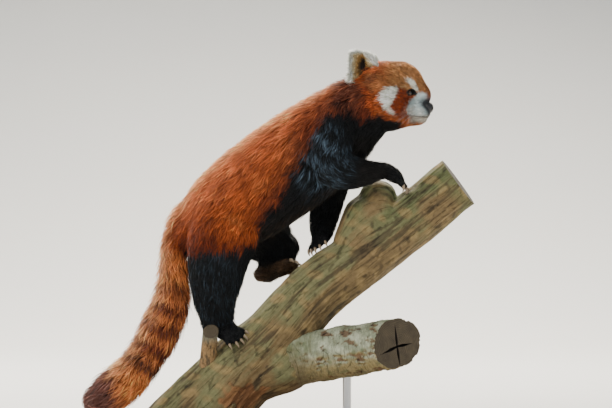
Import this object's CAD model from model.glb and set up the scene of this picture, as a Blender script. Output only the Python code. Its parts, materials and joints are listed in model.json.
"""The looks of a life-size red panda on a cut branch: skin, coat, face, claws, bark and stand.

Metres, +X the way the animal faces, +Y its left side, +Z up, in the frame of the solids. The
skin is rebuilt from the body's own runs and masses, a coat's depth under its outline, and the
coat grows from it as thin closed strands that follow the lie of the hair.
"""

import json
import math

import bmesh
import bpy
import numpy as np
from mathutils import Matrix, Vector, noise
from mathutils.bvhtree import BVHTree

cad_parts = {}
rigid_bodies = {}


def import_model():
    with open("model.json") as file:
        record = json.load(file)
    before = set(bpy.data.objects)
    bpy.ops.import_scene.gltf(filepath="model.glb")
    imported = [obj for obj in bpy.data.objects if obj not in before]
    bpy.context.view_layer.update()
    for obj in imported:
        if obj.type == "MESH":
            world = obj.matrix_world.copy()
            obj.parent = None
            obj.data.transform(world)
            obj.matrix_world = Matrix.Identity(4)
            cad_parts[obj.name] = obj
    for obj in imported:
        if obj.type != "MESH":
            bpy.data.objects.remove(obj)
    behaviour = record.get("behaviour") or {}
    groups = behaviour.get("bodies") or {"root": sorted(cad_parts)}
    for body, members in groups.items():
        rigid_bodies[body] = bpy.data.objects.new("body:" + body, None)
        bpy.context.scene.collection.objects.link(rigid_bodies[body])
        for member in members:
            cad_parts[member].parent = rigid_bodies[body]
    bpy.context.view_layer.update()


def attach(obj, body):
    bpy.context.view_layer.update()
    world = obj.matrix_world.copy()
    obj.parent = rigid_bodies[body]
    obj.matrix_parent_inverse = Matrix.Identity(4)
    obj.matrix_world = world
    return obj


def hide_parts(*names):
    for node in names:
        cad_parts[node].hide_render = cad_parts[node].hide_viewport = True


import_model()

# The body's runs as (x, y, z, half height across the run, half width across the run)
TORSO = [
    (-0.181, 0, 0.366, 0.048, 0.040),
    (-0.157, 0, 0.381, 0.064, 0.056),
    (-0.126, 0, 0.403, 0.078, 0.067),
    (-0.081, 0, 0.435, 0.087, 0.075),
    (-0.030, 0, 0.472, 0.090, 0.078),
    (0.017, 0, 0.506, 0.0895, 0.076),
    (0.057, 0, 0.536, 0.0855, 0.071),
    (0.089, 0, 0.563, 0.078, 0.064),
    (0.1185, 0, 0.5875, 0.0695, 0.058),
    (0.1445, 0, 0.6045, 0.0635, 0.054),
]
TAIL = [
    (-0.172, 0, 0.416, 0.030, 0.030),
    (-0.194, 0, 0.392, 0.030, 0.030),
    (-0.207, -0.002, 0.360, 0.028, 0.028),
    (-0.213, -0.004, 0.314, 0.028, 0.028),
    (-0.214, -0.008, 0.272, 0.031, 0.031),
    (-0.224, -0.010, 0.226, 0.036, 0.036),
    (-0.244, -0.012, 0.179, 0.037, 0.037),
    (-0.266, -0.014, 0.141, 0.034, 0.034),
    (-0.296, -0.016, 0.103, 0.037, 0.037),
    (-0.326, -0.018, 0.078, 0.037, 0.037),
    (-0.350, -0.018, 0.063, 0.029, 0.029),
]
UPPER_ARM_NEAR = [
    (0.088, -0.040, 0.588, 0.036, 0.026),
    (0.084, -0.044, 0.566, 0.041, 0.030),
    (0.074, -0.054, 0.534, 0.041, 0.032),
    (0.068, -0.060, 0.503, 0.041, 0.030),
]
FOREARM_NEAR = [
    (0.074, -0.060, 0.492, 0.038, 0.030),
    (0.108, -0.056, 0.480, 0.033, 0.027),
    (0.142, -0.044, 0.480, 0.024, 0.021),
    (0.166, -0.034, 0.483, 0.0175, 0.018),
    (0.180, -0.028, 0.482, 0.016, 0.019),
]
UPPER_ARM_FAR = [
    (0.090, 0.040, 0.566, 0.040, 0.030),
    (0.084, 0.050, 0.520, 0.038, 0.030),
    (0.080, 0.050, 0.478, 0.034, 0.028),
]
FOREARM_FAR = [
    (0.081, 0.049, 0.470, 0.034, 0.028),
    (0.069, 0.042, 0.420, 0.030, 0.024),
    (0.062, 0.034, 0.390, 0.0275, 0.021),
    (0.060, 0.028, 0.372, 0.024, 0.020),
]
HIND_LEG_NEAR = [
    (-0.112, -0.030, 0.398, 0.060, 0.036),
    (-0.124, -0.040, 0.355, 0.063, 0.041),
    (-0.132, -0.043, 0.314, 0.056, 0.037),
    (-0.136, -0.042, 0.274, 0.048, 0.032),
    (-0.137, -0.040, 0.246, 0.041, 0.028),
    (-0.134, -0.036, 0.218, 0.034, 0.024),
    (-0.133, -0.030, 0.198, 0.030, 0.022),
]
THIGH_FAR = [
    (-0.112, 0.032, 0.398, 0.058, 0.038),
    (-0.070, 0.044, 0.372, 0.054, 0.036),
    (-0.030, 0.050, 0.352, 0.044, 0.030),
]
SHANK_FAR = [
    (-0.022, 0.050, 0.346, 0.042, 0.028),
    (-0.028, 0.046, 0.320, 0.037, 0.024),
    (-0.036, 0.042, 0.302, 0.028, 0.021),
    (-0.043, 0.040, 0.293, 0.021, 0.018),
]

# Beds of the coat: run, flow (with or against its stations), depth of the skin under the outline,
# hair length at its first and last station, height of the tips, strand width, roots per square cm
BEDS = {
    "torso": (TORSO, -1, 0.0085, (0.032, 0.026), 0.0095, 0.0017, 17),
    "tail": (TAIL, 1, 0.0120, (0.030, 0.038), 0.0155, 0.0018, 18.5),
    "upper_arm_near": (UPPER_ARM_NEAR, 1, 0.0060, (0.022, 0.019), 0.0065, 0.0014, 30),
    "forearm_near": (FOREARM_NEAR, 1, 0.0045, (0.018, 0.010), 0.0045, 0.0012, 36),
    "upper_arm_far": (UPPER_ARM_FAR, 1, 0.0060, (0.022, 0.019), 0.0065, 0.0014, 22),
    "forearm_far": (FOREARM_FAR, 1, 0.0045, (0.018, 0.011), 0.0045, 0.0012, 27),
    "hind_leg_near": (HIND_LEG_NEAR, 1, 0.0060, (0.028, 0.012), 0.0065, 0.0015, 24),
    "thigh_far": (THIGH_FAR, 1, 0.0060, (0.026, 0.019), 0.0065, 0.0015, 20),
    "shank_far": (SHANK_FAR, 1, 0.0045, (0.018, 0.011), 0.0045, 0.0012, 27),
}
PATH_STEPS = 6
RUN_SIDES = 28
# Degrees round a run's domed end, from its tip to its full width
END_TURNS = (90, 72, 54, 36, 18)
BED_BLEND = 0.0045

# The head in its own frame: origin amid the head, +X to the nose
HEAD_PLACE = Vector((0.194, 0.0, 0.622))
HEAD_YAW = math.radians(-8)
HEAD_CENTRE = np.array((0.004, 0.0, -0.006))
HEAD_REACH = 0.120
HEAD_BLEND = 0.010
HEAD_MASSES = [
    ((-0.022, 0, 0.008), (0.056, 0.056, 0.058)),  # cranium
    ((0.010, 0, 0.013), (0.047, 0.035, 0.052)),  # forehead
    ((0.043, 0, 0.000), (0.026, 0.014, 0.026)),  # bridge of the nose
    ((0.042, 0, -0.028), (0.026, 0.019, 0.018)),  # muzzle
    ((0.030, 0, -0.046), (0.030, 0.015, 0.011)),  # chin
    ((-0.014, 0, -0.040), (0.044, 0.040, 0.026)),  # throat
]
HEAD_PAIRS = [
    ((0.046, 0.010, -0.030), (0.019, 0.013, 0.012)),  # whisker pad
    ((-0.010, 0.033, -0.016), (0.038, 0.029, 0.036)),  # cheek
    ((0.031, 0.0235, 0.0055), (0.0115, 0.0110, 0.0095)),  # lids
    ((0.024, 0.020, 0.022), (0.016, 0.012, 0.010)),  # brow
]
EYE_PLACE = Vector((0.0284, 0.0250, 0.0044))
EYE_LOOK = Vector((0.70, 0.70, 0.06))
EYE_RADIUS = 0.0076
EYE_OPENING = (0.0062, 0.0072, 0.0056)
EYE_OPENING_AHEAD = 0.0010
NOSE_PLACE = Vector((0.0605, 0, -0.0225))
NOSE_RADII = (0.0128, 0.0128, 0.0112)
MOUTH_LEVEL = -0.0395
MOUTH_CENTRE = 0.028
MOUTH_SPREAD = math.radians(86)
MOUTH_RISE = 0.004
MOUTH_STEPS = 12
LIP_RADIUS = 0.0022
ROLL_SIDES = 12
MOUTH_GROOVE = 0.0011

# Over the head, from the nose back to the neck: depth of the skin, and the hair as on the beds
HEAD_STATIONS = (0.075, 0.045, 0.020, -0.010, -0.045, -0.080)
HEAD_DEPTHS = (0.0010, 0.0016, 0.0030, 0.0045, 0.0065, 0.0080)
HEAD_HAIR = {
    "length": (0.0030, 0.0050, 0.0085, 0.0125, 0.0200, 0.0260),
    "lift": (0.0009, 0.0014, 0.0028, 0.0045, 0.0065, 0.0075),
    "width": (0.00060, 0.00075, 0.0010, 0.0012, 0.0015, 0.0017),
    "roots": (360, 255, 112, 64, 36, 27),
}
PAW_HAIR = {"length": 0.0066, "lift": 0.0020, "width": 0.0009, "roots": 115}
# Where the face's hair is swept back from
FACE_SWEEP = Vector((0.072, 0.0, -0.012))

# Ears: outline from the side in the head's X and Z, and its lean out of that plane
EAR_OUTLINE = [
    (-0.079, 0.029), (-0.080, 0.044), (-0.080, 0.062), (-0.079, 0.0750), (-0.0735, 0.0805),
    (-0.062, 0.0815), (-0.051, 0.0790), (-0.040, 0.0740), (-0.032, 0.067), (-0.0275, 0.0585),
    (-0.027, 0.049), (-0.034, 0.036), (-0.053, 0.022), (-0.070, 0.020),
]
EAR_MIDDLE = (-0.056, 0.048)
EAR_LEAN = (-0.32, 0.30, 0.0065)
EAR_CUP = 0.015
EAR_SHRINK = 0.94
EAR_THICKNESS = 0.0030
EAR_RINGS = 7
EAR_DARK = np.array((-0.0540, 0.0530))
EAR_STEPS = 4

# Paws as (forward, across, back of the paw)
PALM_FORE = (0.025, 0.0215, 0.0135)
PALM_HIND = (0.029, 0.0215, 0.0135)
HEEL = (0.022, 0.018, 0.015)
PAW_DEPTH = 0.0022
TOES = 5
TOE_RADII = (0.0135, 0.0066, 0.0075)
TOE_SPACING = 0.0090
TOE_REACH = 0.027
TOE_SET_BACK = 0.0022
TOE_DROP = 0.0035
TOE_SPLAY = math.radians(9)
TOE_DROOP = math.radians(16)
CLAW_LENGTH = 0.0135
CLAW_RADIUS = 0.0025
CLAW_SINK = 0.0045
CLAW_CURL = math.radians(80)
PAWS = {
    "forepaw_right": {
        "palm": Vector((0.190, -0.024, 0.476)),
        "forward": Vector((0.80, 0.0, -0.60)),
        "back": Vector((0.60, -0.05, 0.80)),
        "hind": False,
    },
    "forepaw_left": {
        "palm": Vector((0.059, 0.021, 0.360)),
        "forward": Vector((-0.40, -0.80, -0.44)),
        "back": Vector((-0.55, -0.15, 0.80)),
        "hind": False,
    },
    "hindpaw_right": {
        "palm": Vector((-0.115, -0.043, 0.189)),
        "forward": Vector((0.68, -0.64, -0.30)),
        "back": Vector((-0.30, -0.50, 0.80)),
        "hind": True,
    },
    "hindpaw_left": {
        "palm": Vector((-0.020, 0.036, 0.302)),
        "forward": Vector((0.93, -0.12, 0.32)),
        "back": Vector((-0.25, 0.60, 0.75)),
        "hind": True,
    },
}
HEEL_BEHIND = 0.031

# The branch: main run with its knob, the sawn side branch and a cut twig
BRANCH = [
    (-0.215, 0, -0.018, 0.078, 0.076),
    (-0.155, 0, 0.044, 0.075, 0.074),
    (-0.092, 0, 0.111, 0.070, 0.070),
    (-0.028, 0, 0.174, 0.061, 0.062),
    (0.044, 0, 0.255, 0.057, 0.056),
    (0.115, 0, 0.309, 0.054, 0.054),
    (0.185, 0, 0.361, 0.051, 0.051),
    (0.255, 0, 0.416, 0.050, 0.050),
    (0.345, 0, 0.489, 0.050, 0.050),
]
KNOB = [
    (0.140, 0, 0.345, 0.060, 0.052),
    (0.149, 0, 0.380, 0.056, 0.050),
    (0.158, 0, 0.410, 0.050, 0.046),
    (0.163, 0, 0.432, 0.034, 0.036),
]
SIDE_BRANCH = [
    (-0.070, -0.004, 0.112, 0.056, 0.054),
    (-0.010, -0.012, 0.130, 0.052, 0.050),
    (0.050, -0.024, 0.143, 0.049, 0.048),
    (0.122, -0.046, 0.154, 0.047, 0.046),
    (0.225, -0.086, 0.174, 0.045, 0.045),
]
TWIG = [
    (-0.150, -0.030, 0.120, 0.017, 0.017),
    (-0.148, -0.044, 0.155, 0.015, 0.015),
    (-0.142, -0.074, 0.205, 0.014, 0.014),
]
LOW_CUT = (Vector((0, 0, 0.040)), Vector((0, 0, -1)))
HIGH_CUT = (Vector((0.312, 0, 0.462)), Vector((0.80, -0.10, 0.59)))
SIDE_CUT = (Vector((0.195, -0.075, 0.170)), Vector((0.58, -0.81, 0.05)))
TWIG_CUT = (Vector((-0.144, -0.066, 0.187)), Vector((0.0, -0.80, 0.60)))
# Cracks of a sawn end: degrees round it and reach
HIGH_CRACKS = [(20, 0.036), (138, 0.040), (252, 0.032), (310, 0.024)]
SIDE_CRACKS = [(84, 0.043), (172, 0.036), (262, 0.040), (340, 0.044)]
BARK_VOXEL = 0.0026
# Growth rings of a sawn end: how far apart, and how far they wander
RING_STEP = 0.0032
RING_WANDER = 0.016

SKIN_VOXEL = 0.0024
SKIN_EASE = 6

# The coat: side of a strand's bake patch, how deep a root sits, how far a strand may bend to the
# skin at each ring, hair's clearance from the wood, and how many triangles a piece may have
COAT_SEED = 11
PATCH = 0.003
ROOT_SUNK = 0.0012
STRAND_BEND = 0.60
WOOD_GAP = 0.0014
PIECE_TRIANGLES = 190000
# Strands shorter than the first are tiny, longer than the second are long
TINY_STRAND = 0.0078
LONG_STRAND = 0.0135
# The way along which a part of the coat is split into pieces
SPLIT_ALONG = np.array((0.78, 0.10, 0.62))
# Tufts: their size in strand widths, and how far their strands are pulled together
CLUMP = 4.0
CLUMP_PULL = 0.66
# Share of guard hairs, which stand out of the rest, and how much longer, prouder and lighter they are
GUARD_SHARE = 0.10
GUARD_LENGTH, GUARD_STAND, GUARD_TONE = 1.22, 1.25, 1.15
# From and to: every strand's own share of the length and of the height
OWN_LENGTHS = (0.78, 1.15)
OWN_STANDS = (0.48, 1.18)
# Brightness of the skin under the coat, and what is added to it under short hair
UNDER_COAT, UNDER_SHORT = 0.45, 0.29
# How far colour may come from beside a root, in strand widths
COLOUR_JITTER = 0.55


# Hands: small helpers that every piece uses

def let_go():
    """Nothing selected, so that an operator acts on nothing by accident."""
    bpy.ops.object.select_all(action="DESELECT")


def hold(*objects):
    """Only these objects selected, the first of them active."""
    let_go()
    for obj in objects:
        obj.select_set(True)
    bpy.context.view_layer.objects.active = objects[0]
    return objects[0]


def applied(obj, kind, **settings):
    """One modifier added with its settings and applied."""
    hold(obj)
    modifier = obj.modifiers.new(kind.lower(), kind)
    for key, value in settings.items():
        setattr(modifier, key, value)
    bpy.ops.object.modifier_apply(modifier=modifier.name)
    return obj


def joined(objects):
    """Several objects made one."""
    hold(*objects)
    if len(objects) > 1:
        bpy.ops.object.join()
    return bpy.context.object


def combine(obj, tool, operation="DIFFERENCE", materials="INDEX"):
    """The object less the tool, or with it grown on, and the tool gone."""
    applied(obj, "BOOLEAN", object=tool, operation=operation, solver="MANIFOLD", material_mode=materials)
    bpy.data.objects.remove(tool)
    return obj


def twin(obj):
    """A copy of an object with a mesh of its own."""
    copy = obj.copy()
    copy.data = obj.data.copy()
    bpy.context.scene.collection.objects.link(copy)
    return copy


def dress(obj, material):
    """One material over the whole object."""
    obj.data.materials.clear()
    obj.data.materials.append(material)
    obj.data.polygons.foreach_set("material_index", np.zeros(len(obj.data.polygons), np.int32))


def normals_of(obj):
    """The normal at each of the object's points."""
    found = np.empty(len(obj.data.vertices) * 3, np.float32)
    obj.data.vertex_normals.foreach_get("vector", found)
    return found.reshape(-1, 3).astype(float)


def points_of(obj):
    """The place of each of the object's points."""
    found = np.empty(len(obj.data.vertices) * 3, np.float32)
    obj.data.vertices.foreach_get("co", found)
    return found.reshape(-1, 3).astype(float)


def place_points(obj, points):
    """The object's points put at new places."""
    obj.data.vertices.foreach_set("co", np.asarray(points, np.float32).ravel())
    obj.data.update()
    return obj


def colour_points(obj, name, colours):
    """A colour kept at each of the object's points."""
    layer = obj.data.color_attributes.new(name, "FLOAT_COLOR", "POINT")
    layer.data.foreach_set("color", np.c_[colours, np.ones(len(colours))].astype(np.float32).ravel())


def painted(base, layers):
    """A base colour with others laid over it in turn, each with its share at every point."""
    for colour, share in layers:
        base = mix(base, colour, share)
    return base


def tree_of(obj):
    """A search tree over the object's surface, cut into triangles."""
    mesh = obj.data
    return BVHTree.FromPolygons([v.co for v in mesh.vertices], [p.vertices for p in mesh.polygons])


def unit(rows):
    """Each row at length one."""
    return rows / (np.linalg.norm(rows, axis=-1, keepdims=True) + 1e-12)


def flatten_on(rows, normals):
    """Each row with its part along the normal taken out, at length one."""
    return unit(rows - normals * np.sum(rows * normals, axis=1, keepdims=True))


def easing(value, low, high):
    """0 below low, 1 above high, smooth between."""
    share = np.clip((value - low) / (high - low), 0, 1)
    return share * share * (3 - 2 * share)


def mix(first, second, share):
    """The first value where the share is 0, the second where it is 1."""
    share = np.asarray(share)[..., None]
    return first * (1 - share) + second * share


def tint(red, green, blue):
    """A colour as seen on a screen, 0 to 255, as the shader's own numbers."""
    seen = np.array((red, green, blue)) / 255
    return np.where(seen < 0.04045, seen / 12.92, ((seen + 0.055) / 1.055) ** 2.4)


def drift(points, size, seed, waves=9):
    """A smooth random value from about -1 to 1 that wanders over a distance of size."""
    rng = np.random.default_rng(seed)
    aims = unit(rng.normal(size=(waves, 3))) * rng.uniform(0.6, 1.5, (waves, 1)) * 2 * math.pi / size
    phases = rng.uniform(0, 2 * math.pi, waves)
    return np.sin(points @ aims.T + phases).sum(axis=1) / math.sqrt(waves)


def within(flat, corners):
    """Distance of flat points inside an outline, negative outside it."""
    corners = np.array(corners, float)
    nearest = np.full(len(flat), 1e9)
    inside = np.zeros(len(flat), bool)
    for a, b in zip(corners, np.roll(corners, -1, axis=0)):
        edge = b - a
        share = np.clip(((flat - a) @ edge) / (edge @ edge), 0, 1)
        nearest = np.minimum(nearest, np.linalg.norm(flat - a - share[:, None] * edge, axis=1))
        crosses = (a[1] > flat[:, 1]) != (b[1] > flat[:, 1])
        if b[1] != a[1]:
            at = a[0] + (flat[:, 1] - a[1]) * edge[0] / edge[1]
            inside ^= crosses & (flat[:, 0] < at)
    return np.where(inside, nearest, -nearest)


# Forms: runs, balls and the head

def curve(a, b, c, d, t):
    """A point of the smooth curve through four others, from b at t = 0 to c at t = 1."""
    return 0.5 * (2 * b + (c - a) * t + (2 * a - 5 * b + 4 * c - d) * t * t + (3 * b - a - 3 * c + d) * t**3)


def smooth_run(stations):
    """Points on a smooth curve through the stations, every column alike."""
    rows = np.array(stations, float)
    padded = np.vstack([2 * rows[0] - rows[1], rows, 2 * rows[-1] - rows[-2]])
    found = []
    for i in range(1, len(padded) - 2):
        found += [curve(*padded[i - 1 : i + 3], k / PATH_STEPS) for k in range(PATH_STEPS)]
    return np.array([*found, rows[-1]])


def run_frames(path):
    """Directions along, across and up at every point of a path."""
    along = unit(np.gradient(path[:, :3], axis=0))
    across = flatten_on(np.tile((0.0, 1.0, 0.0), (len(path), 1)), along)
    return along, across, np.cross(across, along)


def rolled(rings):
    """A closed form: a grid laid through rings of points, merged, its faces turned outwards."""
    let_go()
    bpy.ops.mesh.primitive_grid_add(x_subdivisions=len(rings[0]) - 1, y_subdivisions=len(rings) - 1)
    form = place_points(bpy.context.object, np.array(rings, float).reshape(-1, 3))
    bpy.ops.object.mode_set(mode="EDIT")
    bpy.ops.mesh.select_all(action="SELECT")
    bpy.ops.mesh.remove_doubles(threshold=1e-6)
    bpy.ops.mesh.normals_make_consistent(inside=False)
    bpy.ops.object.mode_set(mode="OBJECT")
    return form


def ring_angles(sides):
    """Angles round a closed ring, the last the same as the first."""
    return np.append(np.linspace(0, 2 * math.pi, sides, endpoint=False), 0.0)


def rounded_run(stations, grow=0.0):
    """A closed form along a run, round across it and domed at each end."""
    path = smooth_run(stations)
    along, across, up = run_frames(path)
    turns = [math.radians(degrees) for degrees in END_TURNS]
    reach = path[0, 3:5].min() + grow, path[-1, 3:5].min() + grow
    steps = [(0, -reach[0] * math.sin(turn), math.cos(turn)) for turn in turns]
    steps += [(k, 0.0, 1.0) for k in range(len(path))]
    steps += [(len(path) - 1, reach[1] * math.sin(turn), math.cos(turn)) for turn in reversed(turns)]
    angles = ring_angles(RUN_SIDES)
    rings = []
    for k, ahead, shrink in steps:
        tall, wide = (path[k, 3] + grow) * shrink, (path[k, 4] + grow) * shrink
        ring = path[k, :3] + along[k] * ahead + np.outer(np.cos(angles) * tall, up[k])
        rings.append(ring + np.outer(np.sin(angles) * wide, across[k]))
    return rolled(rings)


def oval(place, radii, turn=None, rings=20, sides=28):
    """An oval ball at a place, turned by a matrix."""
    let_go()
    bpy.ops.mesh.primitive_uv_sphere_add(segments=sides, ring_count=rings, radius=1)
    form = bpy.context.object
    turned = turn.to_4x4() if turn else Matrix.Identity(4)
    form.data.transform(Matrix.Translation(place) @ turned @ Matrix.Diagonal((*radii, 1)))
    return form


def block(point, normal, size=0.9):
    """A cube that fills the side of a plane that its normal points to."""
    let_go()
    bpy.ops.mesh.primitive_cube_add(size=size)
    form = bpy.context.object
    turn = normal.to_track_quat("Z", "Y").to_matrix().to_4x4()
    form.data.transform(Matrix.Translation(point + normal.normalized() * size / 2) @ turn)
    return form


def frame_of(forward, back):
    """A turn whose X is forward and whose Z is the back of a paw."""
    x = forward.normalized()
    z = (back - x * back.dot(x)).normalized()
    return Matrix((x, z.cross(x), z)).transposed()


def mirrored(vector, side):
    """A place on the left side as it is, or its twin on the right."""
    return Vector((vector.x, vector.y * side, vector.z))


HEAD = Matrix.Translation(HEAD_PLACE) @ Matrix.Rotation(HEAD_YAW, 4, "Z")
HEAD_TURN = np.array(HEAD.to_3x3())


def to_head(points):
    """Points as seen in the head's own frame."""
    return (points - np.array(HEAD_PLACE)) @ HEAD_TURN


def in_head(form):
    """A form made in the head's own frame, put at its place."""
    form.data.transform(HEAD)
    return form


def head_masses():
    """All the head's masses, those in pairs on both sides."""
    found = list(HEAD_MASSES)
    for (x, y, z), radii in HEAD_PAIRS:
        found += [((x, y, z), radii), ((x, -y, z), radii)]
    return found


def oval_distance(points, centre, radii):
    """About how far points lie out of an oval ball."""
    scaled = (points - np.array(centre)) / np.array(radii)
    near = np.linalg.norm(scaled, axis=1)
    slope = np.linalg.norm(scaled / np.array(radii), axis=1) + 1e-9
    return near * (near - 1) / slope


def head_field(points):
    """Distance out of the head's outline, whose masses flow into one another."""
    total = None
    for centre, radii in head_masses():
        distance = oval_distance(points, centre, radii)
        if total is None:
            total = distance
            continue
        share = np.clip(0.5 + 0.5 * (total - distance) / HEAD_BLEND, 0, 1)
        total = total * (1 - share) + distance * share - HEAD_BLEND * share * (1 - share)
    return total


def over_head(points, values):
    """A value that changes from the nose back to the neck."""
    stations = np.array(HEAD_STATIONS)[::-1]
    return np.interp(points[:, 0], stations, np.array(values)[::-1])


# Halvings of the way along a ray until its end is close enough
HALVINGS = 20


def head_form():
    """The head's skin, a ball drawn out along rays to the coat's depth under the outline."""
    let_go()
    bpy.ops.mesh.primitive_ico_sphere_add(subdivisions=6, radius=1)
    form = bpy.context.object
    rays = unit(points_of(form))
    low, high = np.zeros(len(rays)), np.full(len(rays), HEAD_REACH)
    for _ in range(HALVINGS):
        middle = (low + high) / 2
        spots = HEAD_CENTRE + rays * middle[:, None]
        outside = head_field(spots) + over_head(spots, HEAD_DEPTHS) > 0
        high = np.where(outside, middle, high)
        low = np.where(outside, low, middle)
    place_points(form, HEAD_CENTRE + rays * low[:, None])
    return in_head(form)


# Ears

def ear_corners():
    """The outline with points added along a smooth closed curve."""
    corners = EAR_MIDDLE + (np.array(EAR_OUTLINE) - EAR_MIDDLE) * EAR_SHRINK
    found = []
    for i in range(len(corners)):
        four = [corners[(i + k - 1) % len(corners)] for k in range(4)]
        found += [curve(*four, k / EAR_STEPS) for k in range(EAR_STEPS)]
    return np.array(found)


EAR_NORMAL = Vector((-EAR_LEAN[0], 1.0, -EAR_LEAN[1])).normalized()


def ear_spot(flat, depth, side):
    """A point of the ear from its place in the outline's plane and its depth in the cup."""
    lean = EAR_LEAN[0] * flat[0] + EAR_LEAN[1] * flat[1] + EAR_LEAN[2]
    return mirrored(Vector((flat[0], lean, flat[1])) + EAR_NORMAL * depth, side)


def ear_form(side):
    """One cupped ear: rings from its inner middle, over the rim, to its outer middle."""
    corners = ear_corners()
    shares = [k / EAR_RINGS for k in range(EAR_RINGS + 1)]
    rings = []
    for share, thickness in [(s, 0) for s in shares] + [(s, EAR_THICKNESS) for s in reversed(shares)]:
        depth = -EAR_CUP * (1 - share**2.2) - thickness * (1.1 - 0.5 * share)
        ring = [ear_spot(EAR_MIDDLE + (corner - EAR_MIDDLE) * share, depth, side) for corner in corners]
        rings.append(ring + ring[:1])
    return in_head(rolled(rings))


# Paws

def toe_frames(paw):
    """Place and turn of each toe: fanned out from the palm and drooping at the tip."""
    turn = frame_of(paw["forward"], paw["back"])
    for k in range(TOES):
        across = k - (TOES - 1) / 2
        offset = Vector((TOE_REACH - TOE_SET_BACK * across**2, across * TOE_SPACING, -TOE_DROP))
        splay = Matrix.Rotation(TOE_SPLAY * across, 3, "Z") @ Matrix.Rotation(TOE_DROOP, 3, "Y")
        yield paw["palm"] + turn @ offset, turn @ splay


def paw_masses(paw):
    """The balls of a paw: place, sizes and turn of each."""
    turn = frame_of(paw["forward"], paw["back"])
    masses = [(paw["palm"], PALM_HIND if paw["hind"] else PALM_FORE, turn)]
    if paw["hind"]:
        masses.append((paw["palm"] - turn @ Vector((HEEL_BEHIND, 0, 0)), HEEL, turn))
    for place, toe_turn in toe_frames(paw):
        masses.append((place, TOE_RADII, toe_turn))
    return masses


def paw_forms():
    """The balls of every paw, at the skin's depth."""
    forms = []
    for paw in PAWS.values():
        for place, radii, turn in paw_masses(paw):
            forms.append(oval(place, [r - PAW_DEPTH for r in radii], turn, 12, 18))
    return forms


# The skin

def eye_frame(side):
    """A turn whose X is the way the eye looks."""
    return frame_of(mirrored(EYE_LOOK, side).normalized(), Vector((0, 0, 1)))


# Room behind each eyeball
EYE_ROOM = 0.0002
# How deep the lips' roll is sunk and how proud the groove between them runs, in lip radii
LIP_SUNK, GROOVE_PROUD = 0.55, 0.45


def open_lids(skin):
    """Almond openings with a soft roll of lid round each, and the eye's place free behind."""
    for side in (1, -1):
        place, turn = mirrored(EYE_PLACE, side), eye_frame(side)
        ahead = place + turn @ Vector((EYE_RADIUS + EYE_OPENING_AHEAD, 0, 0))
        combine(skin, in_head(oval(ahead, EYE_OPENING, turn)))
        combine(skin, in_head(oval(place, (EYE_RADIUS + EYE_ROOM,) * 3, turn)))
    return skin


def mouth_path(skin):
    """Points of the mouth's line on the skin, from one corner round the muzzle to the other."""
    tree = tree_of(skin)
    turn = HEAD.to_3x3()
    path = []
    for k in range(2 * MOUTH_STEPS + 1):
        share = k / MOUTH_STEPS - 1
        start = HEAD @ Vector((MOUTH_CENTRE, 0, MOUTH_LEVEL + MOUTH_RISE * abs(share) ** 3))
        a = MOUTH_SPREAD * share
        path.append(tree.ray_cast(start, turn @ Vector((math.cos(a), math.sin(a), 0)))[0])
    return path


def roll_along(path, radius):
    """A round roll through points, thinner at its ends."""
    edges = [min(k, len(path) - 1 - k) for k in range(len(path))]
    thick = [radius * min(1.0, 0.45 + 0.2 * edge) for edge in edges]
    path = np.array([tuple(p) for p in path])
    along = unit(np.gradient(path, axis=0))
    up = flatten_on(np.tile((0.0, 0.0, 1.0), (len(path), 1)), along)
    across = np.cross(along, up)
    angles = ring_angles(ROLL_SIDES)
    rings = [p + np.outer(np.cos(angles) * r, u) + np.outer(np.sin(angles) * r, a)
             for p, r, u, a in zip(path, thick, up, across)]
    tips = [np.tile(p, (ROLL_SIDES + 1, 1)) for p in (path[0], path[-1])]
    return rolled([tips[0], *rings, tips[1]])


def add_mouth(skin):
    """Lips as a soft roll along the mouth's line, parted by a groove."""
    path = mouth_path(skin)
    inward = HEAD @ Vector((MOUTH_CENTRE, 0, MOUTH_LEVEL))
    sunk = [p + (inward - p).normalized() * LIP_RADIUS * LIP_SUNK for p in path]
    combine(skin, roll_along(sunk, LIP_RADIUS), "UNION")
    proud = [p - (inward - p).normalized() * LIP_RADIUS * GROOVE_PROUD for p in path]
    combine(skin, roll_along(proud, MOUTH_GROOVE))
    return path


def make_skin(wood):
    """One closed skin for the whole animal, with lids, lips and ears, clear of the wood."""
    forms = [rounded_run(bed[0], -bed[2]) for bed in BEDS.values()]
    forms += [head_form(), *paw_forms()]
    skin = joined(forms)
    applied(skin, "REMESH", mode="VOXEL", voxel_size=SKIN_VOXEL)
    applied(skin, "SMOOTH", factor=0.5, iterations=SKIN_EASE)
    skin.name = "skin"
    open_lids(skin)
    path = add_mouth(skin)
    for side in (1, -1):
        combine(skin, ear_form(side), "UNION")
    for piece in wood:
        combine(skin, twin(piece))
    hold(skin)
    bpy.ops.object.mode_set(mode="EDIT")
    bpy.ops.mesh.select_all(action="SELECT")
    bpy.ops.mesh.quads_convert_to_tris()
    bpy.ops.object.mode_set(mode="OBJECT")
    return skin, np.array([tuple(p) for p in path])


# Markings: the head from the side in its own X and Z, the body from the side in X and Z

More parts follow.
